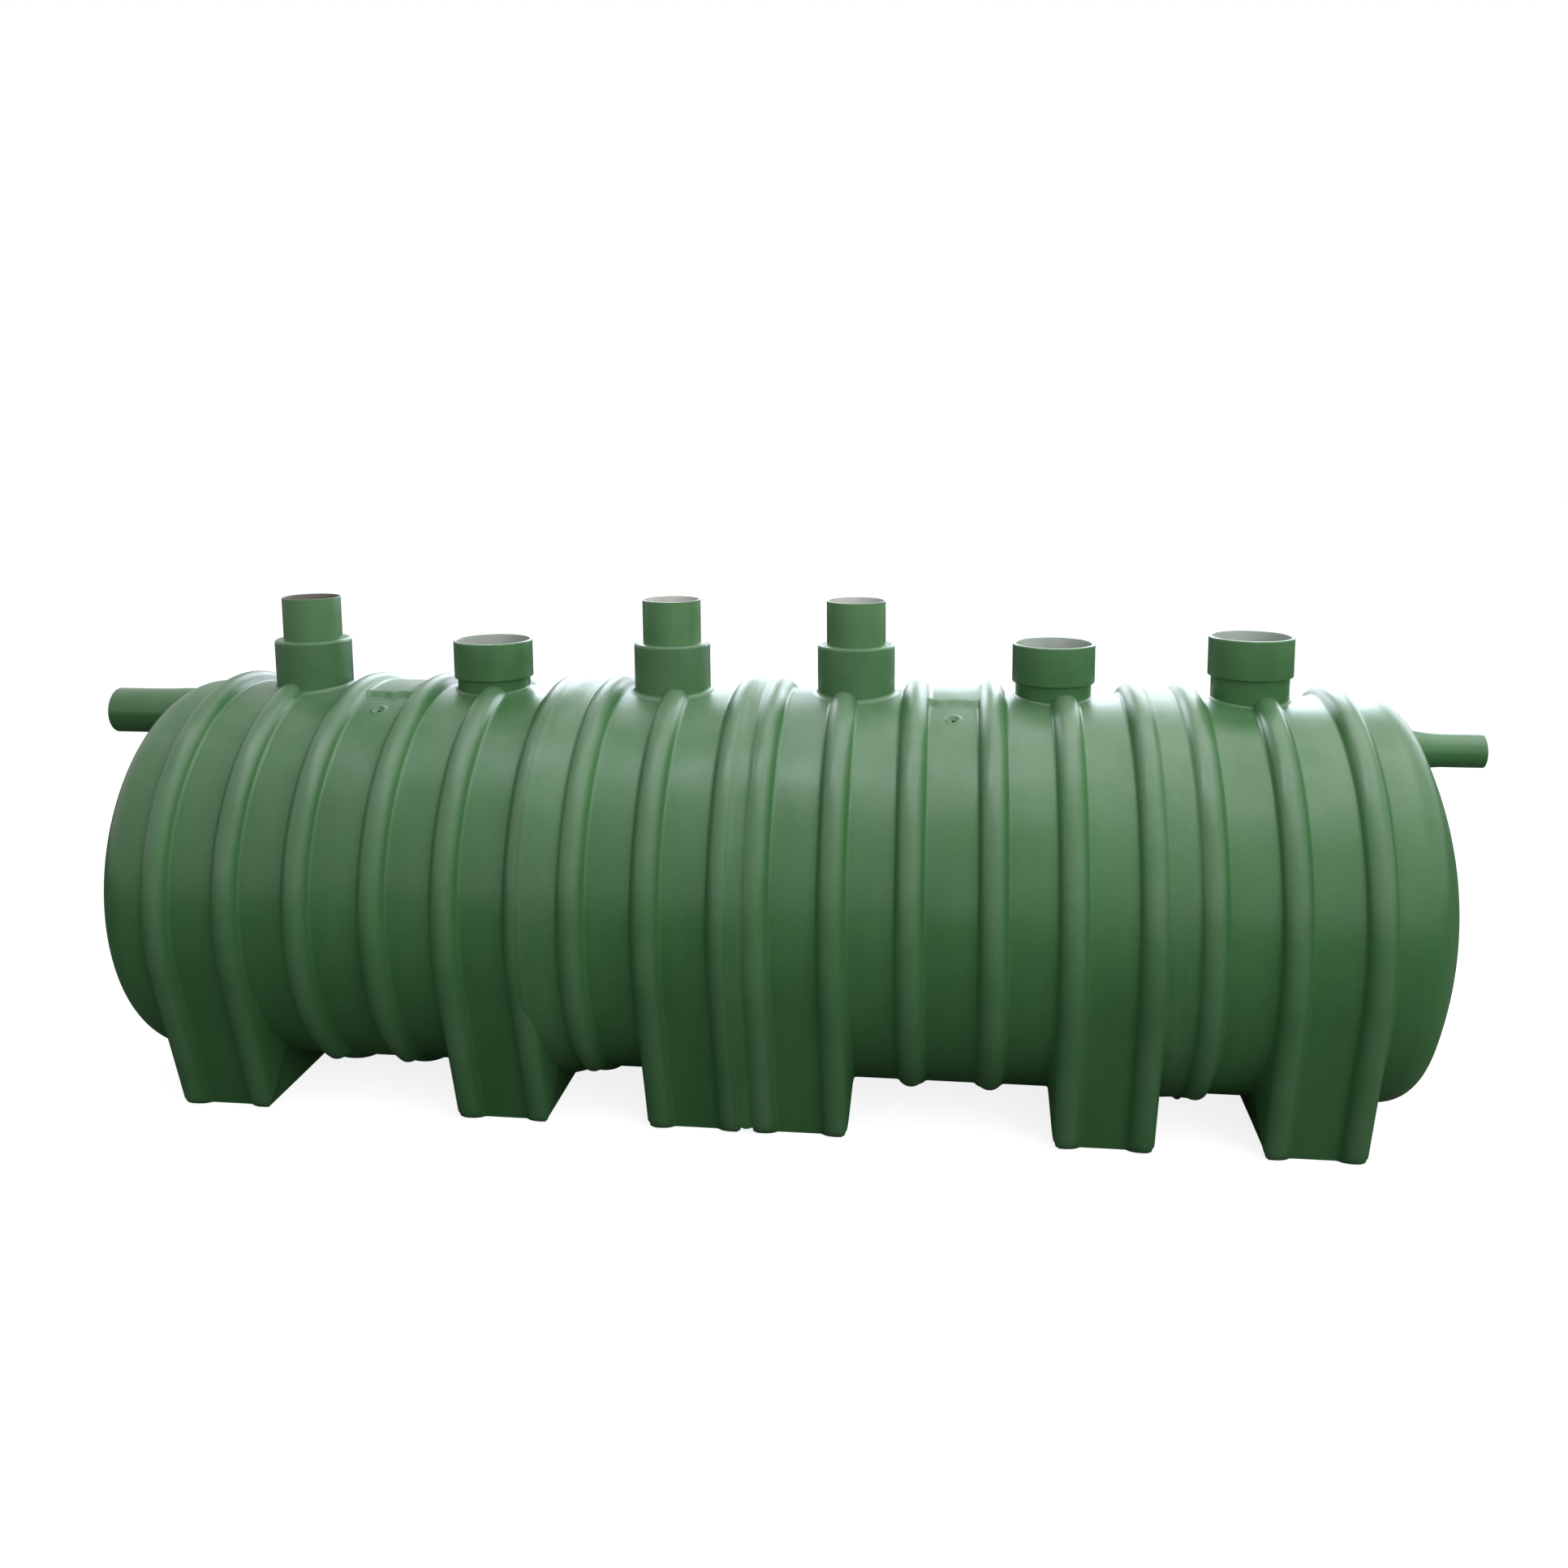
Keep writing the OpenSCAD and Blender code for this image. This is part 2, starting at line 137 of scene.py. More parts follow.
def ramp(tree, value, low, high, out_low=0.0, out_high=1.0, smooth=True):
    """Maps a range of values onto another, eased at both ends."""
    node = tree.nodes.new("ShaderNodeMapRange")
    node.interpolation_type = "SMOOTHSTEP" if smooth else "LINEAR"
    for socket, v in zip(node.inputs, (value, low, high, out_low, out_high)):
        put(tree, socket, v)
    return node.outputs[0]


print("node helpers:", ", ".join(f.__name__ for f in (add, put, calc, ramp)))

# %% [markdown]
# ## What the finishes share
# Every finish starts from noise that reads the object's own coordinates, so the pattern stays
# on the piece. An image would need a flat unwrapping of each piece, and noise needs none.

# %% Patches, blends and carried numbers
def patches(tree, place, scale, detail, low, high, stretch=(1, 1, 1)):
    """Soft noise between low and high, stretched along an axis."""
    spot = add(tree, "ShaderNodeMapping", i0=place, i3=stretch)
    noise = add(tree, "ShaderNodeTexNoise", Vector=spot, Scale=scale, Detail=detail,
                Roughness=0.55)
    return ramp(tree, noise, 0.28, 0.72, low, high)


def blend_colour(tree, factor, a, b):
    """A colour between a and b."""
    node = tree.nodes.new("ShaderNodeMix")
    node.data_type = "RGBA"
    put(tree, node.inputs[0], factor)
    put(tree, node.inputs[6], a)
    put(tree, node.inputs[7], b)
    return node.outputs[2]


def carried(tree, label):
    """A number that the mesh carries at each point, such as the height of a ridge."""
    return add(tree, "ShaderNodeAttribute", out=2, attribute_name=label)


def new_material(name):
    """An empty material with its shader, its tree and the object's own coordinates."""
    material = bpy.data.materials.new(name)
    material.use_nodes = True
    tree = material.node_tree
    place = add(tree, "ShaderNodeTexCoord", out=3)
    return material, tree, tree.nodes["Principled BSDF"], place


# A pale chalky colour, mixed in for dust, rubbing and joint streaks, and as painted sheen and
# painted light on the tops, rib crests and collars.
CHALK_AND_SHEEN = (0.30, 0.36, 0.31, 1)


def upward(tree):
    """How far a surface faces the sky: 0 on the sides, 1 on top."""
    normal = tree.nodes.new("ShaderNodeNewGeometry").outputs["Normal"]
    rise = add(tree, "ShaderNodeSeparateXYZ", out=2, Vector=normal)
    return ramp(tree, rise, 0.30, 0.95)


print("chalk", CHALK_AND_SHEEN[:3])

# %% [markdown]
# ## Laminate
# The real tank is sprayed and rolled laminate: a satin green skin, a little uneven in thickness,
# so its colour drifts in soft patches and its gloss breaks up. The joints between modules are
# laid up by hand afterwards and keep the streaks of the roller. One function makes both. What
# faces the sky is paled in patches, as dust and as painted sheen, and the rib crests are a little
# paler, partly from rubbing and partly as painted light.

# %% Laminate finishes
def laminate(name, deep, light, gloss=0.3, streaks=0.0, grain=0.0006):
    """Green moulded laminate: drifting colour, run marks down the sides, fine roller texture."""
    material, tree, shader, place = new_material(name)
    drift = patches(tree, place, 1.6, 3, 0, 1)
    runs = patches(tree, place, 9, 2, 0, 1, stretch=(1, 0.18, 0.18))
    specks = patches(tree, place, 60, 2, 0, 1)
    mixed = calc(tree, "ADD", calc(tree, "MULTIPLY", drift, 0.4),
                 calc(tree, "MULTIPLY", runs, 0.4))
    mixed = calc(tree, "ADD", mixed, calc(tree, "MULTIPLY", specks, 0.2))
    colour = blend_colour(tree, mixed, deep, light)
    # Paler rib crests and collars, partly from rubbing and partly as painted light where they
    # catch more light.
    rubbed_and_lit_share = calc(tree, "MULTIPLY", ramp(tree, carried(tree, "rubbed_and_lit"), 0.45, 1.0),
                patches(tree, place, 5, 3, 0.04, 0.13))
    colour = blend_colour(tree, rubbed_and_lit_share, colour, CHALK_AND_SHEEN)
    # Painted sheen with dust: what faces the sky is paled towards a chalky colour in patches.
    dust_and_sheen = calc(tree, "MULTIPLY", upward(tree), patches(tree, place, 4.2, 4, 0.0, 0.21))
    colour = blend_colour(tree, dust_and_sheen, colour, CHALK_AND_SHEEN)
    height = add(tree, "ShaderNodeTexNoise", Vector=place, Scale=90.0, Detail=3.0)
    height = calc(tree, "MULTIPLY_ADD", runs, 2.5, height)
    if streaks:
        lines = patches(tree, place, 26, 4, 0, 1, stretch=(1, 0.12, 0.12))
        colour = blend_colour(tree, calc(tree, "MULTIPLY", lines, streaks), colour, CHALK_AND_SHEEN)
        height = calc(tree, "ADD", height, calc(tree, "MULTIPLY", lines, 2.0))
    tree.links.new(colour, shader.inputs["Base Color"])
    rough = ramp(tree, drift, 0, 1, gloss - 0.05, gloss + 0.09)
    tree.links.new(rough, shader.inputs["Roughness"])
    bump = add(tree, "ShaderNodeBump", Strength=0.25, Distance=grain, Height=height)
    tree.links.new(bump, shader.inputs["Normal"])
    return material


GREEN = laminate("tank_laminate", (0.042, 0.136, 0.043, 1), (0.062, 0.178, 0.062, 1), gloss=0.36)
JOINT = laminate("joint_laminate", (0.041, 0.134, 0.042, 1), (0.063, 0.178, 0.063, 1),
                 gloss=0.38, streaks=0.07, grain=0.0012)
print("laminates", GREEN.name, JOINT.name)

# %% [markdown]
# ## Pipes
# The pipes are cut from pipe stock: green outside where they were coated with the tank, and
# pale or stained in the bore. Two materials would need the faces sorted, so one material reads
# a number on each point that says whether it is inside.

# %% Pipe finishes
def two_sided_pipe(name, outside, inside, aged=(0.20, 0.175, 0.15, 1), gloss=0.32):
    """A pipe with one colour outside and another inside; an old bore is stained."""
    material, tree, shader, place = new_material(name)
    drift = patches(tree, place, 5, 3, 0, 1)
    runs = patches(tree, place, 16, 2, 0, 0.5, stretch=(1, 1, 0.12))
    mixed = calc(tree, "ADD", calc(tree, "MULTIPLY", drift, 0.5), runs)
    outer = blend_colour(tree, mixed, outside, tuple(c * 1.25 for c in outside[:3]) + (1,))
    # Painted sheen: the outside pales towards chalk where it faces the sky.
    outer = blend_colour(tree, calc(tree, "MULTIPLY", upward(tree), 0.12), outer, CHALK_AND_SHEEN)
    inner = blend_colour(tree, mixed, inside, tuple(c * 0.8 for c in inside[:3]) + (1,))
    inner = blend_colour(tree, carried(tree, "stained"), inner, aged)
    colour = blend_colour(tree, carried(tree, "inside"), outer, inner)
    tree.links.new(colour, shader.inputs["Base Color"])
    rough = ramp(tree, drift, 0, 1, gloss - 0.04, gloss + 0.08)
    tree.links.new(rough, shader.inputs["Roughness"])
    fine = add(tree, "ShaderNodeTexNoise", Vector=place, Scale=140.0, Detail=2.0)
    bump = add(tree, "ShaderNodeBump", Strength=0.2, Distance=0.0004, Height=fine)
    tree.links.new(bump, shader.inputs["Normal"])
    return material


RISER = two_sided_pipe("riser_pipe", (0.085, 0.195, 0.080, 1), (0.66, 0.68, 0.63, 1))
SERVICE = two_sided_pipe("service_pipe", (0.050, 0.150, 0.053, 1), (0.16, 0.18, 0.16, 1))
SLEEVE = two_sided_pipe("socket_sleeve", (0.058, 0.155, 0.057, 1), (0.50, 0.55, 0.49, 1))
print("pipes", RISER.name, SERVICE.name, SLEEVE.name)

# %% [markdown]
# ## The moulded modules
# Each module is one moulding: a barrel with ribs, whose cross-section stretches down into feet
# at some of the ribs. Its shape follows a rule, so Geometry Nodes build it. A flat template
# carries two numbers at each point, the place along the tank and the angle round it from the
# crown. The tree turns them into a point on the tank, pushed out by the rib's rounded profile
# and pulled down to the ground where a foot stands. Boolean nodes then hollow it out.

# %% Template sheets
def sheet(name, along, around, ring=True, layers=None):
    """A tube of points that carry 'along', 'around' and 'layer'; it is closed by end faces."""
    columns, rows = len(along), len(around)
    layers = layers if layers is not None else [0.0] * columns
    points = [(a, t, k) for a, k in zip(along, layers) for t in around]
    faces = []
    loops_round = rows if ring else rows - 1
    closed_profile = layers[0] != layers[-1]
    for c in range(columns if closed_profile else columns - 1):
        n = (c + 1) % columns
        for r in range(loops_round):
            q = (r + 1) % rows
            faces.append((c * rows + r, n * rows + r, n * rows + q, c * rows + q))
    if ring and not closed_profile:
        faces.append(tuple(range(rows)))
        faces.append(tuple((columns - 1) * rows + r for r in range(rows - 1, -1, -1)))
    if not ring:
        faces.append(tuple(c * rows for c in range(columns - 1, -1, -1)))
        faces.append(tuple(c * rows + rows - 1 for c in range(columns)))
    mesh = bpy.data.meshes.new(name)
    mesh.from_pydata([(a, t * 0.1, k * 0.1) for a, t, k in points], [], faces)
    for index, label in enumerate(("along", "around", "layer")):
        attribute = mesh.attributes.new(label, "FLOAT", "POINT")
        attribute.data.foreach_set("value", np.array([p[index] for p in points], np.float32))
    obj = bpy.data.objects.new(name, mesh)
    bpy.context.scene.collection.objects.link(obj)
    return obj


def finished(obj, material, smooth_angle=32):
    """Bakes an object's modifiers into a plain mesh with smooth shading and its material."""
    evaluated = obj.evaluated_get(bpy.context.evaluated_depsgraph_get())
    mesh = bpy.data.meshes.new_from_object(evaluated)
    obj.modifiers.clear()
    obj.data = mesh
    mesh.materials.clear()
    mesh.materials.append(material)
    mesh.polygons.foreach_set("material_index", [0] * len(mesh.polygons))
    mesh.shade_smooth()
    mesh.set_sharp_from_angle(angle=math.radians(smooth_angle))
    triangles = sum(len(p.vertices) - 2 for p in mesh.polygons)
    print(f"{obj.name}: {triangles} triangles")
    return obj


print("template sheets carry along, around and layer")

# %% [markdown]
# ## A tree with named inputs
# A Geometry Nodes tree works like a mould: the same tree runs on every module, and its named
# inputs say where the ribs and feet go. It reads the numbers that the template carries.

# %% Starting a geometry tree
def new_geometry_tree(name, sizes):
    """A geometry tree with a mesh in and out, and one named input for each size."""
    tree = bpy.data.node_groups.new(name, "GeometryNodeTree")
    tree.interface.new_socket("Mesh", in_out="INPUT", socket_type="NodeSocketGeometry")
    tree.interface.new_socket("Mesh", in_out="OUTPUT", socket_type="NodeSocketGeometry")
    for label, value in sizes.items():
        socket = tree.interface.new_socket(label, in_out="INPUT", socket_type="NodeSocketFloat")
        socket.default_value = value
    tree.interface.new_socket("Finish", in_out="INPUT", socket_type="NodeSocketMaterial")
    return tree, tree.nodes.new("NodeGroupInput").outputs


def field(tree, label):
    """Reads one of the template's numbers."""
    node = tree.nodes.new("GeometryNodeInputNamedAttribute")
    node.data_type = "FLOAT"
    node.inputs["Name"].default_value = label
    return node.outputs["Attribute"]


print("geometry tree helpers:", new_geometry_tree.__name__, field.__name__)

# %% [markdown]
# ## The rib's profile
# A rib is a round top with a small fillet to the barrel on each side. The rule gives its height
# at any distance from its middle. It is settled 1 mm into the barrel, as in the CAD, so that
# the skin stays inside the CAD's own box.

# %% Rib profile
RIB_ROUND = (RIB_H ** 2 + RIB_W ** 2 / 4) / (2 * RIB_H)
RIB_DROP = RIB_ROUND - RIB_H + RIB_SETTLE
RIB_TOE = math.sqrt((RIB_ROUND + RIB_FILLET) ** 2 - (RIB_FILLET + RIB_DROP) ** 2)
RIB_TURN = RIB_ROUND * RIB_TOE / (RIB_ROUND + RIB_FILLET)


def rib_height(tree, distance):
    """Height of a rib at a distance from its middle: a round top, then a fillet to the barrel."""
    below = calc(tree, "SUBTRACT", RIB_ROUND ** 2, calc(tree, "POWER", distance, 2))
    top = calc(tree, "SUBTRACT", calc(tree, "SQRT", calc(tree, "MAXIMUM", below, 0)), RIB_DROP)
    left = calc(tree, "MAXIMUM", calc(tree, "SUBTRACT", RIB_TOE, distance), 0)
    inner = calc(tree, "SUBTRACT", RIB_FILLET ** 2, calc(tree, "POWER", left, 2))
    foot = calc(tree, "SUBTRACT", RIB_FILLET, calc(tree, "SQRT", calc(tree, "MAXIMUM", inner, 0)))
    is_top = calc(tree, "LESS_THAN", distance, RIB_TURN)
    other = calc(tree, "MULTIPLY", foot, calc(tree, "SUBTRACT", 1, is_top))
    return calc(tree, "MULTIPLY_ADD", top, is_top, other)


print("rib: round", round(RIB_ROUND, 4), "half width at the barrel", round(RIB_TOE, 4))

# %% [markdown]
# ## The section across the tank
# Across, the moulding is round, except in a foot, where it leaves the round at the shoulder
# and runs straight down to the ground. The rule turns an angle from the crown into a point on
# either line, so a foot and the barrel above it are one skin, as in the real mould.

# %% Section of the moulding
SHOULDER = math.pi / 2 + DRAFT
CORNER = math.radians(145)
SIDE_LEN = (AXIS_Z - BARREL_R * math.sin(DRAFT)) / math.cos(DRAFT)


def way_down(tree, around):
    """How far down a foot's side a point lies, measured from the shoulder."""
    angle = calc(tree, "ABSOLUTE", around)
    past = calc(tree, "MAXIMUM", calc(tree, "SUBTRACT", angle, SHOULDER), 0)
    return calc(tree, "MULTIPLY", calc(tree, "MINIMUM", calc(
        tree, "DIVIDE", past, CORNER - SHOULDER), 1), SIDE_LEN)


def on_section(tree, along, around, height, footed):
    """The point at a height above the section; footed is 0 on the barrel, 1 in a foot."""
    angle = calc(tree, "ABSOLUTE", around)
    radius = calc(tree, "ADD", BARREL_R, height)
    round_y = calc(tree, "MULTIPLY", radius, calc(tree, "SINE", angle))
    round_z = calc(tree, "MULTIPLY", radius, calc(tree, "COSINE", angle))
    down = way_down(tree, around)
    across = calc(tree, "MAXIMUM", calc(tree, "DIVIDE", calc(
        tree, "SUBTRACT", angle, CORNER), math.pi - CORNER), 0)
    side_h = calc(tree, "MULTIPLY", height, calc(tree, "LESS_THAN", across, 0.001))
    side_r = calc(tree, "ADD", BARREL_R, side_h)
    side_y = calc(tree, "SUBTRACT", calc(tree, "MULTIPLY", side_r, math.cos(DRAFT)),
                  calc(tree, "MULTIPLY", down, math.sin(DRAFT)))
    side_y = calc(tree, "MULTIPLY", side_y, calc(tree, "SUBTRACT", 1, across))
    side_z = calc(tree, "MULTIPLY_ADD", down, -math.cos(DRAFT),
                  calc(tree, "MULTIPLY", side_r, -math.sin(DRAFT)))
    side_z = calc(tree, "MAXIMUM", side_z, -AXIS_Z)
    share = calc(tree, "MULTIPLY", footed, calc(tree, "GREATER_THAN", angle, SHOULDER))
    y = ramp(tree, share, 0, 1, round_y, side_y, smooth=False)
    z = ramp(tree, share, 0, 1, round_z, side_z, smooth=False)
    y = calc(tree, "MULTIPLY", y, calc(tree, "SIGN", around))
    return add(tree, "ShaderNodeCombineXYZ", X=along, Y=y, Z=calc(tree, "ADD", z, AXIS_Z))


def shake(tree, along, around, scale, seed):
    """Small unevenness of a hand-made surface, between -1 and 1."""
    spot = add(tree, "ShaderNodeCombineXYZ", X=along, Y=calc(tree, "SINE", around),
               Z=calc(tree, "COSINE", around))
    node = tree.nodes.new("ShaderNodeTexNoise")
    node.noise_dimensions = "4D"
    for label, value in (("Vector", spot), ("W", seed), ("Scale", scale), ("Detail", 2.0)):
        put(tree, node.inputs[label], value)
    return calc(tree, "MULTIPLY_ADD", node.outputs[0], 2, -1)


print("foot sides are", round(SIDE_LEN, 4), "long")

# %% [markdown]
# ## Tools that hollow the moulding
# The moulding is a closed solid at first. A long cylinder takes out its inside, and upright
# ones open the crown. Cutting a solid keeps the wall closed all round, rims included.

# %% Hollowing tools
BORE_SIDES, OPENING_SIDES, OPENING_DEPTH = 160, 96, 0.5
BORE_PAST = 0.02


def axial_cylinder(tree, start, length, radius, sides):
    """A cylinder on the tank's axis, used to hollow the moulding."""
    node = tree.nodes.new("GeometryNodeMeshCylinder")
    for label, value in (("Vertices", sides), ("Radius", radius), ("Depth", length)):
        put(tree, node.inputs[label], value)
    middle = calc(tree, "MULTIPLY_ADD", length, 0.5, start)
    place = add(tree, "ShaderNodeCombineXYZ", X=middle, Y=0.0, Z=AXIS_Z)
    return add(tree, "GeometryNodeTransform", Geometry=node.outputs[0], Translation=place,
               Rotation=(0, math.pi / 2, 0))


def crown_cylinder(tree, at, radius):
    """An upright cylinder that opens the crown under a riser or a neck."""
    node = tree.nodes.new("GeometryNodeMeshCylinder")
    for label, value in (("Vertices", OPENING_SIDES), ("Radius", radius),
                         ("Depth", OPENING_DEPTH)):
        put(tree, node.inputs[label], value)
    place = add(tree, "ShaderNodeCombineXYZ", X=at, Y=0.0, Z=AXIS_Z + BARREL_R)
    return add(tree, "GeometryNodeTransform", Geometry=node.outputs[0], Translation=place)


def cut_out(tree, solid, tool):
    """Takes a tool out of a closed solid."""
    node = tree.nodes.new("GeometryNodeMeshBoolean")
    node.operation, node.solver = "DIFFERENCE", "MANIFOLD"
    tree.links.new(solid, node.inputs["Mesh 1"])
    tree.links.new(tool, node.inputs["Mesh 2"])
    return node.outputs[0]


print("bore", BORE_SIDES, "sides, openings", OPENING_SIDES, "sides")

# %% [markdown]
# ## The tree that forms a module, part 1: ribs and unevenness
# The tree finds the nearest rib to each point and raises the skin by the rib's profile. In a
# foot the rib becomes a leg that fades just above the ground. A slow wave, always inwards,
# gives the skin the slackness of real laminate, and it dies out at the module's two ends so
# that neighbours meet.

# %% Ribs and unevenness
LEG_FADE, LEG_LEFT = 0.030, 0.45
WAVE, RIPPLE = 0.0014, 0.0003
END_STILL = 0.05
module_tree, size = new_geometry_tree("moulded_module", {
    "Start": 0.0, "Length": 1.0, "First rib": 0.1, "Last rib number": 5.0, "Lift gap": 0.0,
    "Foot middle 1": 0.0, "Foot middle 2": 0.0, "Foot half length": 0.16,
    "Mark place": 0.0, "Mark size": 0.0,
    "Opening 1": 0.0, "Opening 2": 0.0, "Opening radius": 0.12, "Seed": 0.0})
along, around = field(module_tree, "along"), field(module_tree, "around")
t = module_tree
local = calc(t, "SUBTRACT", calc(t, "SUBTRACT", along, size["Start"]), size["First rib"])
beyond_gap = calc(t, "GREATER_THAN", local, 2 * RIB_PITCH + LIFT_BAY / 2)
extra = calc(t, "MULTIPLY", beyond_gap, size["Lift gap"])
number = calc(t, "ROUND", calc(t, "DIVIDE", calc(t, "SUBTRACT", local, extra), RIB_PITCH))
number = calc(t, "MINIMUM", calc(t, "MAXIMUM", number, 0), size["Last rib number"])
middle = calc(t, "MULTIPLY_ADD", number, RIB_PITCH, extra)
distance = calc(t, "ABSOLUTE", calc(t, "SUBTRACT", local, middle))
above = calc(t, "MULTIPLY", calc(t, "SUBTRACT", SIDE_LEN, way_down(t, around)), math.cos(DRAFT))
ridge = calc(t, "MULTIPLY", rib_height(t, distance), ramp(t, above, 0, LEG_FADE, LEG_LEFT, 1))
from_start = calc(t, "SUBTRACT", along, size["Start"])
from_end = calc(t, "MINIMUM", from_start, calc(t, "SUBTRACT", size["Length"], from_start))
slack = ramp(t, from_end, 0, END_STILL)
uneven = calc(t, "MULTIPLY_ADD", shake(t, along, around, 3.2, size["Seed"]), WAVE, -WAVE)
uneven = calc(t, "MULTIPLY_ADD", shake(t, along, around, 11, size["Seed"]), RIPPLE, uneven)
uneven = calc(t, "MULTIPLY", calc(t, "MINIMUM", uneven, 0), slack)
print("unevenness at most", round(1000 * (2 * WAVE + RIPPLE), 1), "mm inwards")

# %% [markdown]
# ## Part 2: the moulded mark and the feet
# Beside each lifting pad the mould leaves a small ring with a dimple. Both are bell curves of
# the distance from the mark's middle. A foot is the part of the skin near its middle; it is
# narrower just above the ground, which rounds its lower corners.

# %% Moulded mark and feet
MARK_ANGLE = math.radians(20.6)
MARK_RING, MARK_RING_WIDTH, MARK_RING_H = 0.021, 0.006, 0.0040
DIMPLE_WIDTH, DIMPLE_H = 0.012, 0.0085
FOOT_ROUND_H, FOOT_ROUND_IN, FOOT_EDGE = 0.032, 0.016, 0.010
mark_x = calc(t, "SUBTRACT", along, size["Mark place"])
from_mark = calc(t, "SUBTRACT", calc(t, "ABSOLUTE", around), MARK_ANGLE)
mark_y = calc(t, "MULTIPLY", from_mark, BARREL_R)
mark_d = calc(t, "SQRT", calc(t, "ADD", calc(t, "POWER", mark_x, 2),
                              calc(t, "POWER", mark_y, 2)))


def swell(tree, value, middle, width):
    """A bell-shaped bump of height 1."""
    off = calc(tree, "DIVIDE", calc(tree, "SUBTRACT", value, middle), width)
    return calc(tree, "EXPONENT", calc(tree, "MULTIPLY", calc(tree, "MULTIPLY", off, off), -1))


ring = calc(t, "MULTIPLY", swell(t, mark_d, MARK_RING, MARK_RING_WIDTH), MARK_RING_H)
dimple = calc(t, "MULTIPLY", swell(t, mark_d, 0.0, DIMPLE_WIDTH), DIMPLE_H)
mark = calc(t, "SUBTRACT", ring, dimple)
height = calc(t, "MULTIPLY_ADD", mark, size["Mark size"], calc(t, "ADD", ridge, uneven))
half = calc(t, "SUBTRACT", size["Foot half length"],
            ramp(t, above, 0, FOOT_ROUND_H, FOOT_ROUND_IN, 0))
footed = None
for label in ("Foot middle 1", "Foot middle 2"):
    off = calc(t, "ABSOLUTE", calc(t, "SUBTRACT", along, size[label]))
    inside = ramp(t, calc(t, "SUBTRACT", half, off), -FOOT_EDGE, FOOT_EDGE)
    footed = inside if footed is None else calc(t, "MAXIMUM", footed, inside)
print("mark at", round(math.degrees(MARK_ANGLE), 1), "degrees from the crown")

# %% [markdown]
# ## Part 3: forming and hollowing
# Each point moves to its place on the section, and each keeps a number that says how high on a
# rib it lies. The finish pales the crests by it, partly as rubbing and partly as painted light.
# Then the bore and the openings are cut.

# %% Form, note the rib height and hollow
place = on_section(t, along, around, height, footed)
formed = add(t, "GeometryNodeSetPosition", Geometry=size["Mesh"], Position=place)
# The rib height is kept for the finish, which pales the crests by it: partly rubbing, partly
# painted light.
noted = t.nodes.new("GeometryNodeStoreNamedAttribute")
noted.data_type, noted.domain = "FLOAT", "POINT"
for label, value in (("Geometry", formed), ("Name", "rubbed_and_lit"),
                     ("Value", calc(t, "DIVIDE", ridge, RIB_H - RIB_SETTLE))):
    put(t, noted.inputs[label], value)
formed = noted.outputs[0]
bore = axial_cylinder(t, calc(t, "SUBTRACT", size["Start"], BORE_PAST),
                      calc(t, "ADD", size["Length"], 2 * BORE_PAST), BARREL_R - WALL, BORE_SIDES)
hollow = cut_out(t, formed, bore)
for label in ("Opening 1", "Opening 2"):
    hollow = cut_out(t, hollow, crown_cylinder(t, size[label], size["Opening radius"]))
real = add(t, "GeometryNodeRealizeInstances", Geometry=hollow)
done = add(t, "GeometryNodeSetMaterial", Geometry=real, Material=size["Finish"])
t.links.new(done, t.nodes.new("NodeGroupOutput").inputs[0])
print("module tree has", len(t.nodes), "nodes")

# %% [markdown]
# ## Where the template needs points
# A template with even spacing would need very many points to show a 12 mm fillet. So its points
# stand close only where the shape bends: across each rib, at the foot's edges and at the mark.

# %% Places on the template
def set_sizes(modifier, values):
    """Writes a geometry modifier's inputs by their identifiers."""
    for item in modifier.node_group.interface.items_tree:
        if item.item_type == "SOCKET" and item.in_out == "INPUT" and item.name in values:
            modifier[item.identifier] = values[item.name]


def rib_offsets():
    """Places across a rib, closer together where its outline bends."""
    top = [RIB_ROUND * math.sin(a) for a in np.linspace(0, math.asin(RIB_TURN / RIB_ROUND), 8)]
    bend = math.asin((RIB_TOE - RIB_TURN) / RIB_FILLET)
    foot = [RIB_TOE - RIB_FILLET * math.sin(a) for a in np.linspace(bend, 0, 6)[1:]]
    side = top[1:] + foot
    return [-p for p in side[::-1]] + [0.0] + side


RIB_PLACES = rib_offsets()
MARK_STEPS = list(np.linspace(17.2, 24.0, 18))
half_turn = np.radians(sorted(
    [a for a in np.linspace(0, 107, 66)[1:] if not 16.6 < a < 24.6] + MARK_STEPS
    + list(np.linspace(107, 145, 30)[1:]) + list(np.linspace(145, 180, 22)[1:])))
TURN = list(-half_turn[:-1][::-1]) + [0.0] + list(half_turn)
BARREL_STEP, RIB_MARGIN, LEAST_STEP = 0.022, 0.004, 0.0011
MARK_REACH, MARK_STEP = 0.030, 0.0035
FOOT_EDGE_IN, FOOT_EDGE_REACH, FOOT_EDGE_STEP = 0.008, 0.019, 0.0025


def template_places(start, length, ribs, closer):
    """Places along a module: even on the barrel, and close at the ribs and in closer's spans."""
    places = set(np.arange(start, start + length, BARREL_STEP)) | {start + length}
    for rib in ribs:
        places = {p for p in places if abs(p - start - rib) > RIB_TOE + RIB_MARGIN}
        places |= {start + rib + d for d in RIB_PLACES}
    for at, reach, step in closer:
        places = {p for p in places if abs(p - at) > reach}
        places |= set(np.arange(at - reach, at + reach + step / 2, step))
    places = sorted(p for p in places if start < p < start + length)
    kept = [start]
    for p in places:
        if p - kept[-1] > LEAST_STEP:
            kept.append(p)
    kept.append(start + length)
    return kept


print(len(TURN), "points round the tank,", len(RIB_PLACES), "across a rib")

# %% [markdown]
# ## The four modules
# Two long modules have six ribs, and two short ones have three. Each is the same tree with
# other numbers. The result is turned into a plain mesh, and the modifier is removed, because
# the tree has done its work.

# %% Run the tree on each module
OPENING_CUT = 0.118


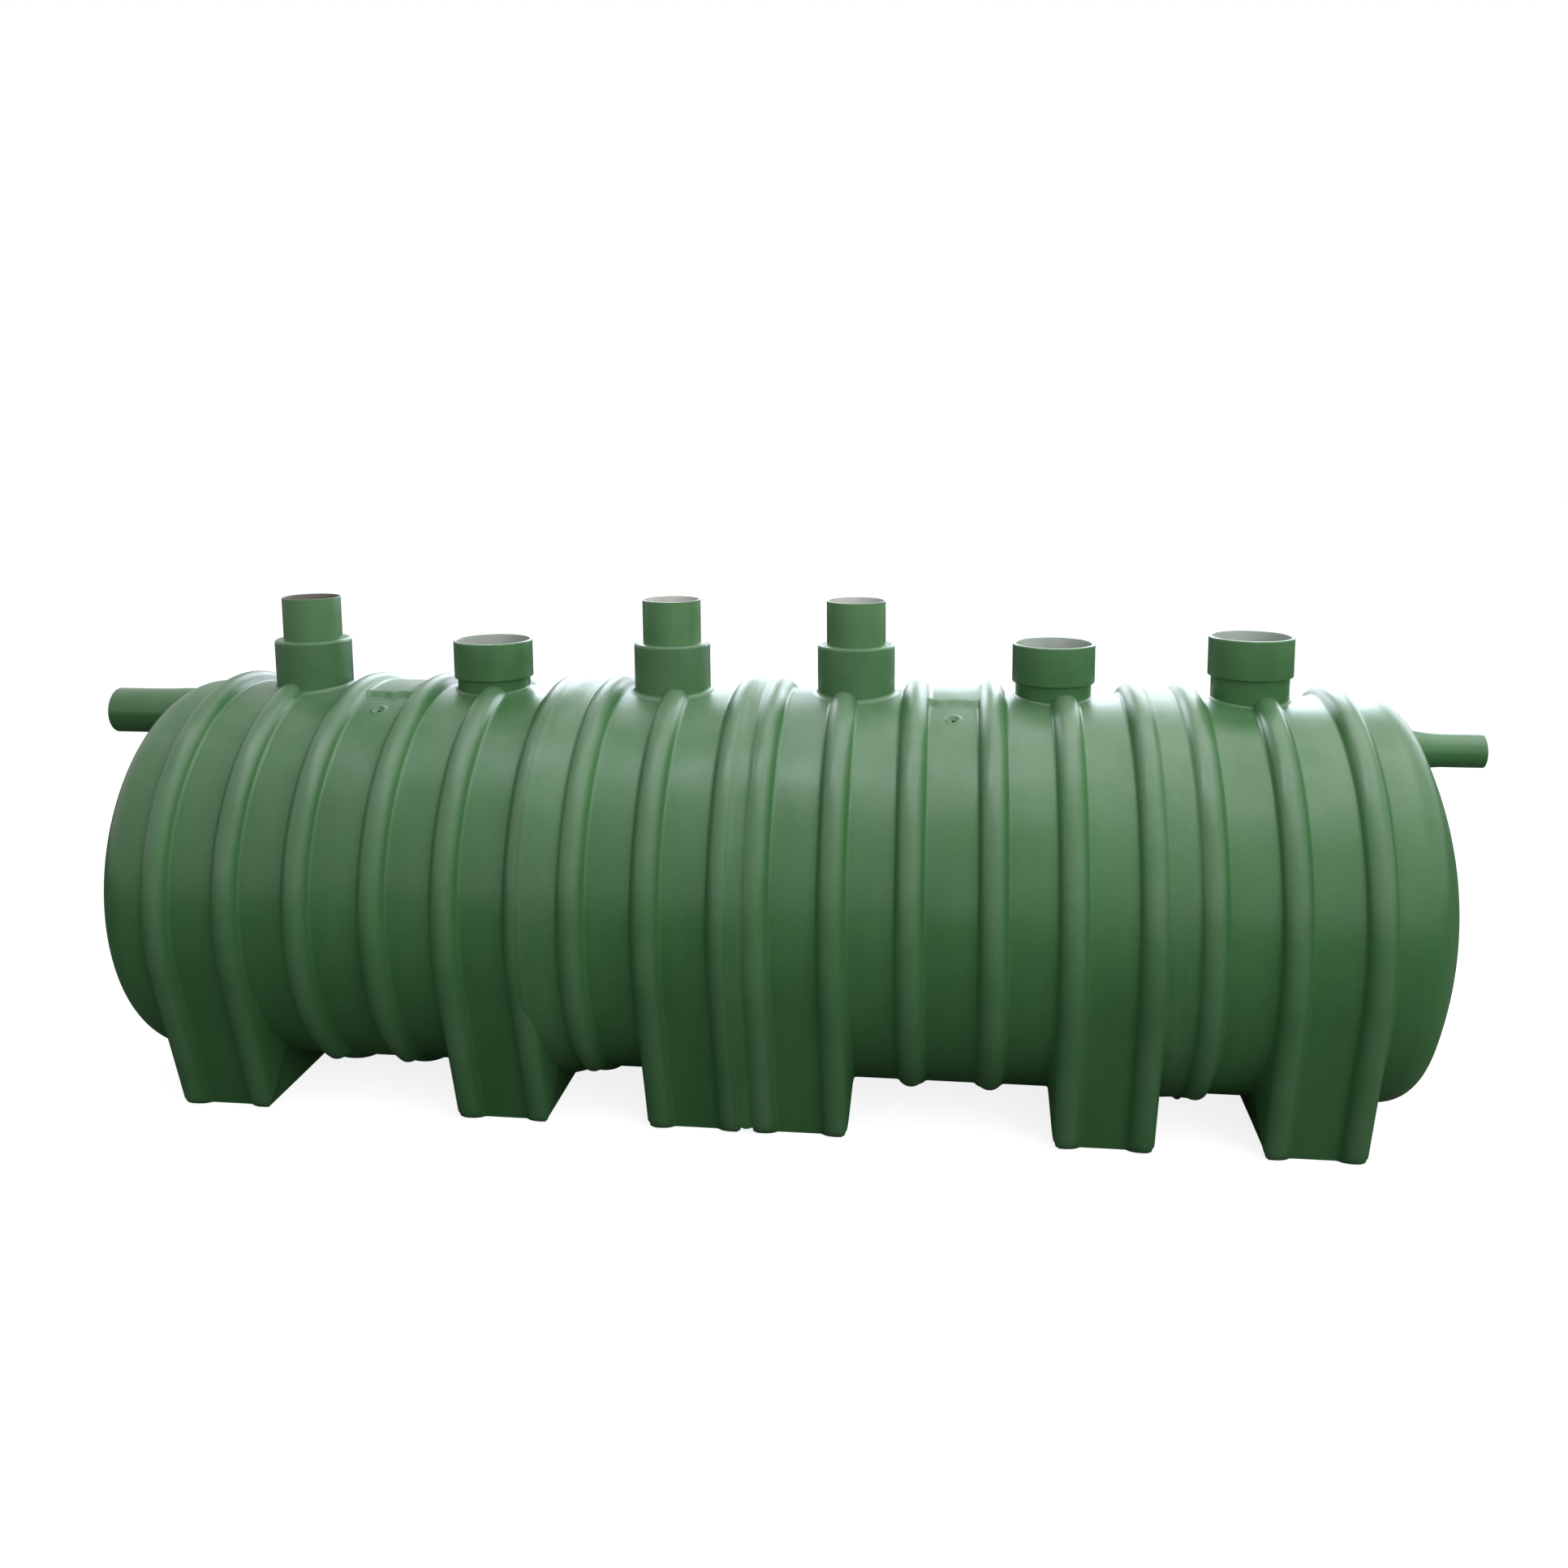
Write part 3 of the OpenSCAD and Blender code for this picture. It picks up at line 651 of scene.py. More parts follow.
def module(name, start, length, ribs, feet, openings, seed):
    """Forms one module; feet are pairs of rib numbers, and openings are places on the crown."""
    middles = [start + (ribs[a] + ribs[b]) / 2 for a, b in feet]
    half = RIB_PITCH / 2 + FOOT_OVERHANG
    marked = len(ribs) > 3
    mark_at = start + (ribs[2] + ribs[3]) / 2 if marked else start - 1
    closer = [(mark_at, MARK_REACH, MARK_STEP)] + [
        (m + s * (half - FOOT_EDGE_IN), FOOT_EDGE_REACH, FOOT_EDGE_STEP)
        for m in middles for s in (-1, 1)]
    obj = sheet(name, template_places(start, length, ribs, closer), TURN)
    modifier = obj.modifiers.new("form", "NODES")
    modifier.node_group = module_tree
    set_sizes(modifier, {
        "Start": start, "Length": length, "First rib": ribs[0],
        "Last rib number": float(len(ribs) - 1),
        "Lift gap": LIFT_BAY - RIB_PITCH if marked else 0.0,
        "Foot middle 1": middles[0], "Foot middle 2": middles[-1], "Foot half length": half,
        "Mark place": mark_at, "Mark size": float(marked),
        "Opening 1": openings[0], "Opening 2": openings[-1], "Opening radius": OPENING_CUT,
        "Seed": seed, "Finish": GREEN})
    return finished(obj, GREEN)


LONG_RIBS = [END_STUB + i * RIB_PITCH + (LIFT_BAY - RIB_PITCH if i > 2 else 0) for i in range(6)]
SHORT_RIBS = [LONG_STUB + i * RIB_PITCH for i in range(3)]


def middle_of(node):
    """The middle of a CAD node's box."""
    low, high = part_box(node)
    return (low + high) / 2


OPENING_X = {n: middle_of(node).x for n, node in (
    (1, "collar_1"), (2, "neck_2"), (3, "collar_3"), (4, "collar_4"), (5, "neck_5"),
    (6, "neck_6"))}
print("crown openings at", {n: round(x, 4) for n, x in OPENING_X.items()})
skin_a = module("module_a", START_A, LONG_LEN, LONG_RIBS, [(0, 1), (4, 5)],
                [OPENING_X[1], OPENING_X[2]], 1.0)
skin_b = module("module_b", START_B, SHORT_LEN, SHORT_RIBS, [(1, 2)], [OPENING_X[3]], 2.0)
skin_c = module("module_c", START_C, LONG_LEN, LONG_RIBS, [(0, 1), (4, 5)],
                [OPENING_X[4], OPENING_X[5]], 3.0)
skin_d = module("module_d", START_D, SHORT_LEN, SHORT_RIBS, [(1, 2)], [OPENING_X[6]], 4.0)
for skin, nodes in ((skin_a, ("shell_a", "foot_1", "foot_2")), (skin_b, ("shell_b", "foot_3")),
                    (skin_c, ("shell_c", "foot_4", "foot_5")), (skin_d, ("shell_d", "foot_6"))):
    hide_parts(*nodes)
    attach(skin, "root")

# %% [markdown]
# ## Joints between the modules
# Where two modules meet, strips of wet laminate are laid over the joint by hand. Between ribs
# that stand apart they make a low band; in the narrow valley they nearly fill it. The band
# follows the same section as the moulding, so the same rule places it.

# %% The tree that lays a joint
WANDER, STREAK, LUMP = 0.004, 0.0012, 0.0010
FILL_FROM, FILL_TO = 0.02, 0.03
FEATHER, EDGE_SUNK, EDGE_PROUD = 0.012, -0.0010, 0.0016
SOFT_TOE, UNDER = 0.010, 0.003
wrap_tree, size = new_geometry_tree("laid_joint", {
    "Rib before": 0.0, "Rib after": 0.2, "Edge before": 0.03, "Edge after": 0.17,
    "Fill before": 0.016, "Fill after": 0.016, "In a foot": 0.0, "Seed": 0.0})
t = wrap_tree
along, around, layer = field(t, "along"), field(t, "around"), field(t, "layer")
flank = calc(t, "MAXIMUM",
             rib_height(t, calc(t, "ABSOLUTE", calc(t, "SUBTRACT", along, size["Rib before"]))),
             rib_height(t, calc(t, "ABSOLUTE", calc(t, "SUBTRACT", along, size["Rib after"]))))
wander = calc(t, "MULTIPLY", shake(t, 0.0, around, 2.5, size["Seed"]), WANDER)
streak = shake(t, calc(t, "MULTIPLY", along, 9), calc(t, "MULTIPLY", around, 0.8), 3.0,
               size["Seed"])
lumps = shake(t, along, around, 7.0, calc(t, "ADD", size["Seed"], 9))
rough = calc(t, "MULTIPLY_ADD", streak, STREAK, calc(t, "MULTIPLY", lumps, LUMP))
fill = ramp(t, calc(t, "ADD", along, wander), calc(t, "ADD", size["Rib before"], FILL_FROM),
            calc(t, "SUBTRACT", size["Rib after"], FILL_TO), size["Fill before"],
            size["Fill after"])
from_edge = calc(t, "MINIMUM", calc(t, "SUBTRACT", along, size["Edge before"]),
                 calc(t, "SUBTRACT", size["Edge after"], along))
cover = ramp(t, from_edge, 0, FEATHER, EDGE_SUNK, EDGE_PROUD)
laid = calc(t, "SMOOTH_MAX", calc(t, "ADD", flank, cover), fill, SOFT_TOE)
laid = calc(t, "MINIMUM", calc(t, "ADD", laid, rough), RIB_H - RIB_SETTLE)
under = calc(t, "SUBTRACT", flank, UNDER)
height = ramp(t, layer, 0, 1, under, laid, smooth=False)
place = on_section(t, along, around, height, size["In a foot"])
formed = add(t, "GeometryNodeSetPosition", Geometry=size["Mesh"], Position=place)
real = add(t, "GeometryNodeRealizeInstances", Geometry=formed)
done = add(t, "GeometryNodeSetMaterial", Geometry=real, Material=size["Finish"])
t.links.new(done, t.nodes.new("NodeGroupOutput").inputs[0])
print("joint tree has", len(t.nodes), "nodes")

# %% [markdown]
# ## The three joints
# The first joint is thick at the rib and thin at the far side, the last is nearly even, and the
# middle one lies in a narrow valley and runs on down both flanks as a strip with a round end.
# A strip's end is rounded by drawing its template in towards its middle before it is formed.

# %% Lay the three joints
JOINT_STEP = 0.0045
STRIP_END = 0.94
STRIP_ROUND = math.radians(3.4)
STRIP_GAP = 0.002
BLUNT = 0.995


def joint(name, before, after, inset, fills, in_foot, seed):
    """A band of laminate from just past one rib's middle to just before the next one's."""
    places = list(np.arange(before + inset[0], after - inset[1], JOINT_STEP))
    places.append(after - inset[1])
    last = SHOULDER + (CORNER - SHOULDER) * STRIP_END
    turn = TURN
    if in_foot:
        ends = last - STRIP_ROUND * (1 - np.sin(np.linspace(0, math.pi / 2, 9)))
        body = [a for a in TURN if abs(a) < last - STRIP_ROUND - STRIP_GAP]
        turn = list(-ends[::-1]) + body + list(ends)
    obj = sheet(name, places + places[::-1], turn, ring=not in_foot,
                layers=[1.0] * len(places) + [0.0] * len(places))
    if in_foot:
        middle = (places[0] + places[-1]) / 2
        along = obj.data.attributes["along"].data
        around = obj.data.attributes["around"].data
        for a, r in zip(along, around):
            into = min(max((abs(r.value) - last + STRIP_ROUND) / STRIP_ROUND, 0.0), BLUNT)
            a.value = middle + (a.value - middle) * math.sqrt(1 - into * into)
    modifier = obj.modifiers.new("lay", "NODES")
    modifier.node_group = wrap_tree
    set_sizes(modifier, {"Rib before": before, "Rib after": after, "Edge before": places[0],
                         "Edge after": places[-1], "Fill before": fills[0],
                         "Fill after": fills[1], "In a foot": float(in_foot), "Seed": seed,
                         "Finish": JOINT})
    return finished(obj, JOINT, 50)


wrap_ab = joint("joint_ab", START_A + LONG_RIBS[5], START_B + SHORT_RIBS[0], (0.006, 0.034),
                (0.034, 0.013), False, 11.0)
wrap_cd = joint("joint_cd", START_C + LONG_RIBS[5], START_D + SHORT_RIBS[0], (0.030, 0.034),
                (0.017, 0.013), False, 12.0)
wrap_bc = joint("joint_bc", START_B + SHORT_RIBS[2], START_C + LONG_RIBS[0], (0.014, 0.014),
                (0.028, 0.026), True, 13.0)
for wrap, nodes in ((wrap_ab, ("joint_wrap_ab",)), (wrap_cd, ("joint_wrap_cd",)),
                    (wrap_bc, ("joint_wrap_bc", "joint_strip_front", "joint_strip_back"))):
    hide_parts(*nodes)
    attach(wrap, "root")

# %% [markdown]
# ## Turned shapes
# Domes, collars, pipes, necks and sockets are all round, so a closed outline is turned about an
# axis. The outline is drawn with rounded corners, because a moulded or cut edge is never sharp.

# %% Turning a closed outline
def rounded(points, steps=5):
    """Rounds each corner (r, z, radius) of a closed outline."""
    made = []
    count = len(points)
    for i, (x, z, radius) in enumerate(points):
        here = Vector((x, z))
        if radius <= 0:
            made.append((x, z))
            continue
        before = Vector(points[i - 1][:2]) - here
        after = Vector(points[(i + 1) % count][:2]) - here
        reach = min(radius, before.length * 0.49, after.length * 0.49)
        a, b = here + before.normalized() * reach, here + after.normalized() * reach
        for k in range(steps + 1):
            u = k / steps
            p = a * (1 - u) ** 2 + here * 2 * u * (1 - u) + b * u ** 2
            made.append((p.x, p.y))
    return made


def turned(name, outline, placing, segments=96, within=None):
    """Turns an outline of (radius, height) about Z, places it and marks its inside."""
    angles = [2 * math.pi * k / segments for k in range(segments)]
    rows = len(outline)
    verts = [placing @ Vector((r * math.cos(a), r * math.sin(a), z))
             for a in angles for r, z in outline]
    faces = []
    for s in range(segments):
        n = (s + 1) % segments
        for k in range(rows):
            q = (k + 1) % rows
            faces.append((s * rows + k, n * rows + k, n * rows + q, s * rows + q))
    mesh = bpy.data.meshes.new(name)
    mesh.from_pydata(verts, [], faces)
    mark = mesh.attributes.new("inside", "FLOAT", "POINT")
    limit = within if within is not None else -1
    mark.data.foreach_set("value", np.array(
        [1.0 if r < limit else 0.0 for _ in angles for r, z in outline], np.float32))
    obj = bpy.data.objects.new(name, mesh)
    bpy.context.scene.collection.objects.link(obj)
    outward(obj)
    return obj


def outward(obj):
    """Turns a closed mesh's faces outwards."""
    bm = bmesh.new()
    bm.from_mesh(obj.data)
    bmesh.ops.remove_doubles(bm, verts=bm.verts, dist=1e-6)
    bmesh.ops.recalc_face_normals(bm, faces=bm.faces)
    bm.to_mesh(obj.data)
    bm.free()
    return obj


def cut(obj, tool):
    """Cuts a closed tool out of a closed piece."""
    modifier = obj.modifiers.new("cut", "BOOLEAN")
    modifier.operation, modifier.solver, modifier.object = "DIFFERENCE", "MANIFOLD", tool
    mesh = bpy.data.meshes.new_from_object(
        obj.evaluated_get(bpy.context.evaluated_depsgraph_get()))
    obj.modifiers.clear()
    obj.data = mesh
    bpy.data.objects.remove(tool)
    return obj


print("turning helpers:", turned.__name__, outward.__name__, cut.__name__)

# %% [markdown]
# ## Domed ends
# Each end is a dished head: a short straight skirt, a tight knuckle and a wide crown. A
# flattened sphere could stand for it, but would have no knuckle. So its outline is drawn as
# those three curves and turned about the tank's axis, and the pipe's hole is cut afterwards.

# %% Domes
DOME_SKIRT = 0.060
CROWN_R = 1.262
KNUCKLE_R = 0.114
KNUCKLE_END = math.asin((BARREL_R - KNUCKLE_R) / (CROWN_R - KNUCKLE_R))
CROWN_CENTRE = DOME_SKIRT - (CROWN_R - KNUCKLE_R) * math.cos(KNUCKLE_END)


def dome_line(inset, steps=18):
    """The dome's outline as (radius, distance from the barrel's end)."""
    line = [(BARREL_R - inset, 0.0)]
    for i in range(steps + 1):
        a = math.pi / 2 - i * (math.pi / 2 - KNUCKLE_END) / steps
        line.append((BARREL_R - KNUCKLE_R + (KNUCKLE_R - inset) * math.sin(a),
                     DOME_SKIRT + (KNUCKLE_R - inset) * math.cos(a)))
    for i in range(1, steps + 1):
        a = KNUCKLE_END * (1 - i / steps)
        line.append((max((CROWN_R - inset) * math.sin(a), 0.0),
                     CROWN_CENTRE + (CROWN_R - inset) * math.cos(a)))
    return line


def dome_reach(radius):
    """How far the dome's surface lies past the barrel's end at a distance from the axis."""
    knuckle = BARREL_R - KNUCKLE_R + KNUCKLE_R * math.sin(KNUCKLE_END)
    if radius > knuckle:
        over = radius - BARREL_R + KNUCKLE_R
        return DOME_SKIRT + math.sqrt(max(KNUCKLE_R ** 2 - over ** 2, 0))
    return CROWN_CENTRE + math.sqrt(CROWN_R ** 2 - radius ** 2)


def towards(axis, place):
    """A placing that points local Z along an axis."""
    return Matrix.Translation(place) @ Vector(axis).to_track_quat("Z", "Y").to_matrix().to_4x4()


INLET_R, INLET_WALL, INLET_Z = 0.080, 0.004, AXIS_Z + 0.554
OUTLET_R, OUTLET_WALL, OUTLET_Z = 0.055, 0.0032, AXIS_Z + 0.495
SEAT_CUT = 0.001


def dome(name, side, end, pipe_r, pipe_z):
    """A closed dished head with a hole for its pipe."""
    outline = dome_line(0.0) + dome_line(WALL)[::-1]
    obj = turned(name, outline, towards((side, 0, 0), (end, 0, AXIS_Z)), 144)
    tool = turned("tool", [(0, -0.1), (pipe_r, -0.1), (pipe_r, 0.5), (0, 0.5)],
                  towards((side, 0, 0), (end, 0, pipe_z)), 64)
    return finished(cut(obj, tool), GREEN)


inlet_dome = dome("dome_inlet", -1, START_A, INLET_R - SEAT_CUT, INLET_Z)
outlet_dome = dome("dome_outlet", 1, END_D, OUTLET_R - SEAT_CUT, OUTLET_Z)
for piece, node in ((inlet_dome, "inlet_dome"), (outlet_dome, "outlet_dome")):
    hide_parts(node)
    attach(piece, "root")

# %% [markdown]
# ## Flares
# Where an upright collar or a pipe meets a curved wall, the laminator leaves a fillet. A bevel
# along the cut edge could make it. Here it is a ring of its own, whose section bends from the
# tube onto the wall: the wall's own rule says where each point lands, and its faces stay even.

# %% A fillet ring between a tube and a wall
FLARE_GRIP, FLARE_SINK, FLARE_ROOT_IN, FLARE_ROOT_DOWN = 0.001, 0.0012, 0.003, 0.006


def flare(name, placing, tube_r, reach, landing, steps=7, segments=96):
    """A ring from the tube's side to the wall; landing gives the wall's depth below the origin."""
    verts, faces = [], []
    rows = steps + 2
    for s in range(segments):
        a = 2 * math.pi * s / segments
        ca, sa = math.cos(a), math.sin(a)
        root = landing(tube_r * ca, tube_r * sa)
        far = landing((tube_r + reach) * ca, (tube_r + reach) * sa)
        high = Vector((tube_r - FLARE_GRIP, root + reach))
        low = Vector((tube_r + reach, far))
        knee = Vector((tube_r, root))
        line = []
        for k in range(steps + 1):
            u = k / steps
            line.append(high * (1 - u) ** 2 + knee * 2 * u * (1 - u) + low * u ** 2)
        line[-1] = Vector((low.x, low.y - FLARE_SINK))
        line.append(Vector((tube_r - FLARE_ROOT_IN, root - FLARE_ROOT_DOWN)))
        verts += [placing @ Vector((p.x * ca, p.x * sa, p.y)) for p in line]
    for s in range(segments):
        n = (s + 1) % segments
        for k in range(rows):
            q = (k + 1) % rows
            faces.append((s * rows + k, n * rows + k, n * rows + q, s * rows + q))
    mesh = bpy.data.meshes.new(name)
    mesh.from_pydata(verts, [], faces)
    obj = bpy.data.objects.new(name, mesh)
    bpy.context.scene.collection.objects.link(obj)
    return outward(obj)


def joined(name, pieces):
    """Joins closed pieces into one object."""
    bm = bmesh.new()
    for piece in pieces:
        bm.from_mesh(piece.data)
    mesh = bpy.data.meshes.new(name)
    bm.to_mesh(mesh)
    bm.free()
    obj = bpy.data.objects.new(name, mesh)
    bpy.context.scene.collection.objects.link(obj)
    for piece in pieces:
        bpy.data.objects.remove(piece)
    return obj


print("fillet helpers:", flare.__name__, joined.__name__)

# %% [markdown]
# ## Collars and risers
# Three of the crown openings are closed by a collar with a soft upper edge, and a sewer pipe
# stands in the middle of its ledge. The collar flares onto the barrel at its base. A bevelled
# cylinder would round every edge alike, so the outline gives each corner its own rounding.

# %% Collars
COLLAR_R, COLLAR_H, RISER_R, RISER_WALL, RISER_H = 0.131, 0.167, 0.100, 0.005, 0.148
RISER_SEAT, COLLAR_FLARE, COLLAR_ROUND = 0.06, 0.016, 0.012
LEDGE_GRIP, RIM_ROUND = 0.0007, 0.0016
BELOW_CROWN = 0.04
BOND = 0.0003
SKIN = 0.0002
CROWN_Z = AXIS_Z + BARREL_R


def barrel_landing(x, y):
    """Height of the barrel's surface relative to the crown, at y across the tank."""
    return math.sqrt(BARREL_R ** 2 - y * y) - BARREL_R


def upright(x):
    """A placing on the crown that points up."""
    return Matrix.Translation((x, 0, CROWN_Z))


def note(obj, label, value):
    """Writes the same number on all of a mesh's points."""
    attribute = obj.data.attributes.get(label) or obj.data.attributes.new(label, "FLOAT", "POINT")
    attribute.data.foreach_set("value", [float(value)] * len(obj.data.vertices))


def trimmed(piece, x):
    """Cuts a piece flush with the inside of the barrel."""
    tool = turned("tool", [(0, -0.3), (BARREL_R - WALL, -0.3), (BARREL_R - WALL, 0.3), (0, 0.3)],
                  towards((1, 0, 0), (x, 0, AXIS_Z)), 160)
    return cut(piece, tool)


for n in (1, 3, 4):
    x = OPENING_X[n]
    body = turned("body", rounded([
        (COLLAR_R - WALL, -BELOW_CROWN, 0), (COLLAR_R, -BELOW_CROWN, 0),
        (COLLAR_R, COLLAR_H, COLLAR_ROUND),
        (RISER_R - LEDGE_GRIP, COLLAR_H, 0.001), (RISER_R - LEDGE_GRIP, COLLAR_H - WALL, 0),
        (COLLAR_R - WALL, COLLAR_H - WALL, 0)]), upright(x), 128)
    skirt = flare("skirt", upright(x), COLLAR_R, COLLAR_FLARE, barrel_landing)
    collar = finished(joined(f"collar_skin_{n}", [trimmed(body, x), skirt]), GREEN)
    # Painted light: the whole collar is paled towards chalk, as if its sides caught more light.
    note(collar, "rubbed_and_lit", 0.85)
    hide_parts(f"collar_{n}")
    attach(collar, "root")
    pipe = turned(f"riser_skin_{n}", rounded([
        (RISER_R - RISER_WALL, COLLAR_H - RISER_SEAT, 0),
        (RISER_R - SEAT_CUT, COLLAR_H - RISER_SEAT, 0),
        (RISER_R - SEAT_CUT, COLLAR_H + BOND, 0), (RISER_R, COLLAR_H + BOND, 0),
        (RISER_R, COLLAR_H + RISER_H, RIM_ROUND),
        (RISER_R - RISER_WALL, COLLAR_H + RISER_H, RIM_ROUND)]), upright(x), 128,
        within=RISER_R - RISER_WALL + SKIN)
    note(pipe, "stained", n == 1)
    finished(pipe, RISER)
    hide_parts(f"riser_{n}")
    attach(pipe, "root")

# %% [markdown]
# ## Necks and sockets
# The other three openings carry a neck with a wider sleeve pushed over it. The sleeve takes a
# pipe down to its stop ring, and its rim is thick and rounded. Neck and sleeve could be one
# outline, but they are two parts on the real tank, so each is turned by itself.

# %% Necks and sockets
NECK_R, SLEEVE_WALL, SLEEVE_LEN, SLEEVE_DEPTH, STOP = 0.125, 0.011, 0.130, 0.070, 0.004
NECK_FLARE, SLEEVE_ROUND = 0.010, 0.009
RIM = {2: 0.169, 5: 0.177, 6: 0.207}
for n, rim in RIM.items():
    x = OPENING_X[n]
    stop = rim - SLEEVE_DEPTH - STOP
    neck = turned("body", [(NECK_R - WALL, -BELOW_CROWN), (NECK_R, -BELOW_CROWN),
                           (NECK_R, stop), (NECK_R - WALL, stop)], upright(x), 128)
    skirt = flare("skirt", upright(x), NECK_R, NECK_FLARE, barrel_landing)
    neck = finished(joined(f"neck_skin_{n}", [trimmed(neck, x), skirt]), GREEN)
    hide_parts(f"neck_{n}")
    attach(neck, "root")
    bore, outer = NECK_R + BOND, NECK_R + BOND + SLEEVE_WALL
    sleeve = turned(f"socket_skin_{n}", rounded([
        (bore, rim - SLEEVE_LEN, 0.001), (outer, rim - SLEEVE_LEN, 0.004),
        (outer, rim, SLEEVE_ROUND),
        (bore, rim, 0.004), (bore, rim - SLEEVE_DEPTH, 0), (NECK_R - WALL, rim - SLEEVE_DEPTH, 0),
        (NECK_R - WALL, stop, 0), (bore, stop, 0)]), upright(x), 128, within=bore + SKIN)
    finished(sleeve, SLEEVE)
    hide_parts(f"socket_{n}")
    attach(sleeve, "root")

# %% [markdown]
# ## Inlet and outlet
# Each pipe is laminated into its dome: the laminate thickens towards the dome and ends in a
# small fillet on it. A plain cylinder would meet the dome in a hard line, so the thickening is
# part of the pipe's outline, and the fillet is the same ring as on the collars.

# %% Pipes through the domes
SEAL_LEN, SEAL_FILLET, PIPE_INSIDE = 0.085, 0.014, 0.03
INLET_SEAL, OUTLET_SEAL = 0.003, 0.010


def service(name, side, end, tip, r, wall, z, seal):
    """A pipe from its tip into the dome, thicker near the dome, with a fillet on it."""
    length = abs(tip - end) - DOME_SKIRT - PIPE_INSIDE
    meets = abs(tip - end) - dome_reach(z - AXIS_Z)
    placing = towards((-side, 0, 0), (tip, 0, z))
    swollen = [(r + seal * u ** 1.8, meets - SEAL_LEN * (1 - u), 0)
               for u in np.linspace(0, 1, 9)]
    body = turned("body", rounded(
        [(r - wall, 0, 0.0012), (r, 0, RIM_ROUND)] + swollen
        + [(r + seal, length, 0), (r - wall, length, 0)]), placing, 96, within=r - wall + SKIN)
    out = towards((side, 0, 0), (end, 0, z))

    def landing(x, y):
        lift = out @ Vector((x, y, 0))
        return dome_reach(min(math.hypot(lift.y, lift.z - AXIS_Z), BARREL_R - 0.0005))

    ring = flare("ring", out, r + seal * 0.6, SEAL_FILLET, landing)
    return finished(joined(name, [body, ring]), SERVICE)


inlet = service("inlet_skin", -1, START_A, -TANK_END, INLET_R, INLET_WALL, INLET_Z,
                INLET_SEAL)
outlet = service("outlet_skin", 1, END_D, TANK_END, OUTLET_R, OUTLET_WALL, OUTLET_Z,
                 OUTLET_SEAL)
for piece, node in ((inlet, "inlet_pipe"), (outlet, "outlet_pipe")):
    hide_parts(node)
    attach(piece, "root")

# %% [markdown]
# ## Lifting pads
# A pad of laminate lies on the crown between two ribs of each long module, where a lifting
# strap bears. It follows the barrel, and its edges are soft. It is drawn as a grid of points
# with its thickness eased in at the edges, because its outline is hand-laid and not straight.

# %% Lifting pads
PAD_HALF, PAD_LEN, PAD_T = 0.152, 0.184, 0.012
PAD_STEP, PAD_SIDE, PAD_WAVE = 0.036, 0.008, 0.010
PAD_RISE, PAD_FLAT, PAD_RISE_OVER = 0.004, 0.066, 0.018
PAD_MARGIN, PAD_INTO_RIB = 0.004, 0.005
PAD_SUNK, PAD_ROOT = 0.0015, 0.004


def eased(value, width):
    """0 outside an edge, 1 inside it, with a soft step between."""
    u = min(max(value / width, 0.0), 1.0)
    return u * u * (3 - 2 * u)


def pad(name, x, phase):
    """A curved plate laid up by hand: its two edges run out softly and a little wavily."""
    reach = PAD_HALF + PAD_WAVE + PAD_MARGIN
    step = np.linspace(PAD_HALF - PAD_STEP - PAD_WAVE, reach, 16)
    across = np.concatenate([-step[::-1], np.linspace(-step[0], step[0], 21)[1:-1], step])
    side = np.linspace(PAD_FLAT, PAD_LEN / 2 + PAD_INTO_RIB, 14)
    lengths = np.concatenate([-side[::-1], np.linspace(-side[0], side[0], 15)[1:-1], side])
    verts, faces = [], []
    for d in lengths:
        edge = PAD_HALF + PAD_WAVE * math.sin(d * 88 + phase) * math.cos(d * 23 - phase)
        for y in across:
            plate = (PAD_T + PAD_RISE * eased(abs(d) - PAD_FLAT, PAD_RISE_OVER)) * eased(
                edge - abs(y), PAD_STEP) * eased(PAD_LEN / 2 + PAD_MARGIN - abs(d), PAD_SIDE)
            for r in (BARREL_R - PAD_SUNK + plate, BARREL_R - PAD_ROOT):
                verts.append((x + d, r * math.sin(y / BARREL_R),
                              AXIS_Z + r * math.cos(y / BARREL_R)))
    rows, columns = len(across), len(lengths)

    def at(i, j, k):
        return (i * rows + j) * 2 + k

    for i in range(columns - 1):
        for j in range(rows - 1):
            faces.append((at(i, j, 0), at(i + 1, j, 0), at(i + 1, j + 1, 0), at(i, j + 1, 0)))
            faces.append((at(i, j, 1), at(i, j + 1, 1), at(i + 1, j + 1, 1), at(i + 1, j, 1)))
    for i in range(columns - 1):
        for j in (0, rows - 1):
            faces.append((at(i, j, 0), at(i, j, 1), at(i + 1, j, 1), at(i + 1, j, 0)))
    for j in range(rows - 1):
        for i in (0, columns - 1):
            faces.append((at(i, j, 0), at(i, j + 1, 0), at(i, j + 1, 1), at(i, j, 1)))
    mesh = bpy.data.meshes.new(name)
    mesh.from_pydata(verts, [], faces)
    obj = bpy.data.objects.new(name, mesh)
    bpy.context.scene.collection.objects.link(obj)
    return finished(outward(obj), GREEN)


for n, start, phase in (("a", START_A, 0.6), ("c", START_C, 2.1)):
    plate = pad(f"pad_{n}", start + (LONG_RIBS[2] + LONG_RIBS[3]) / 2, phase)
    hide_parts(f"lifting_pad_{n}")
    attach(plate, "root")

# %% [markdown]
# ## Floor
# A plain floor that keeps the tank's shadow. It looks white to the camera, but throws back only
# a dim green, so that the belly stays dark.

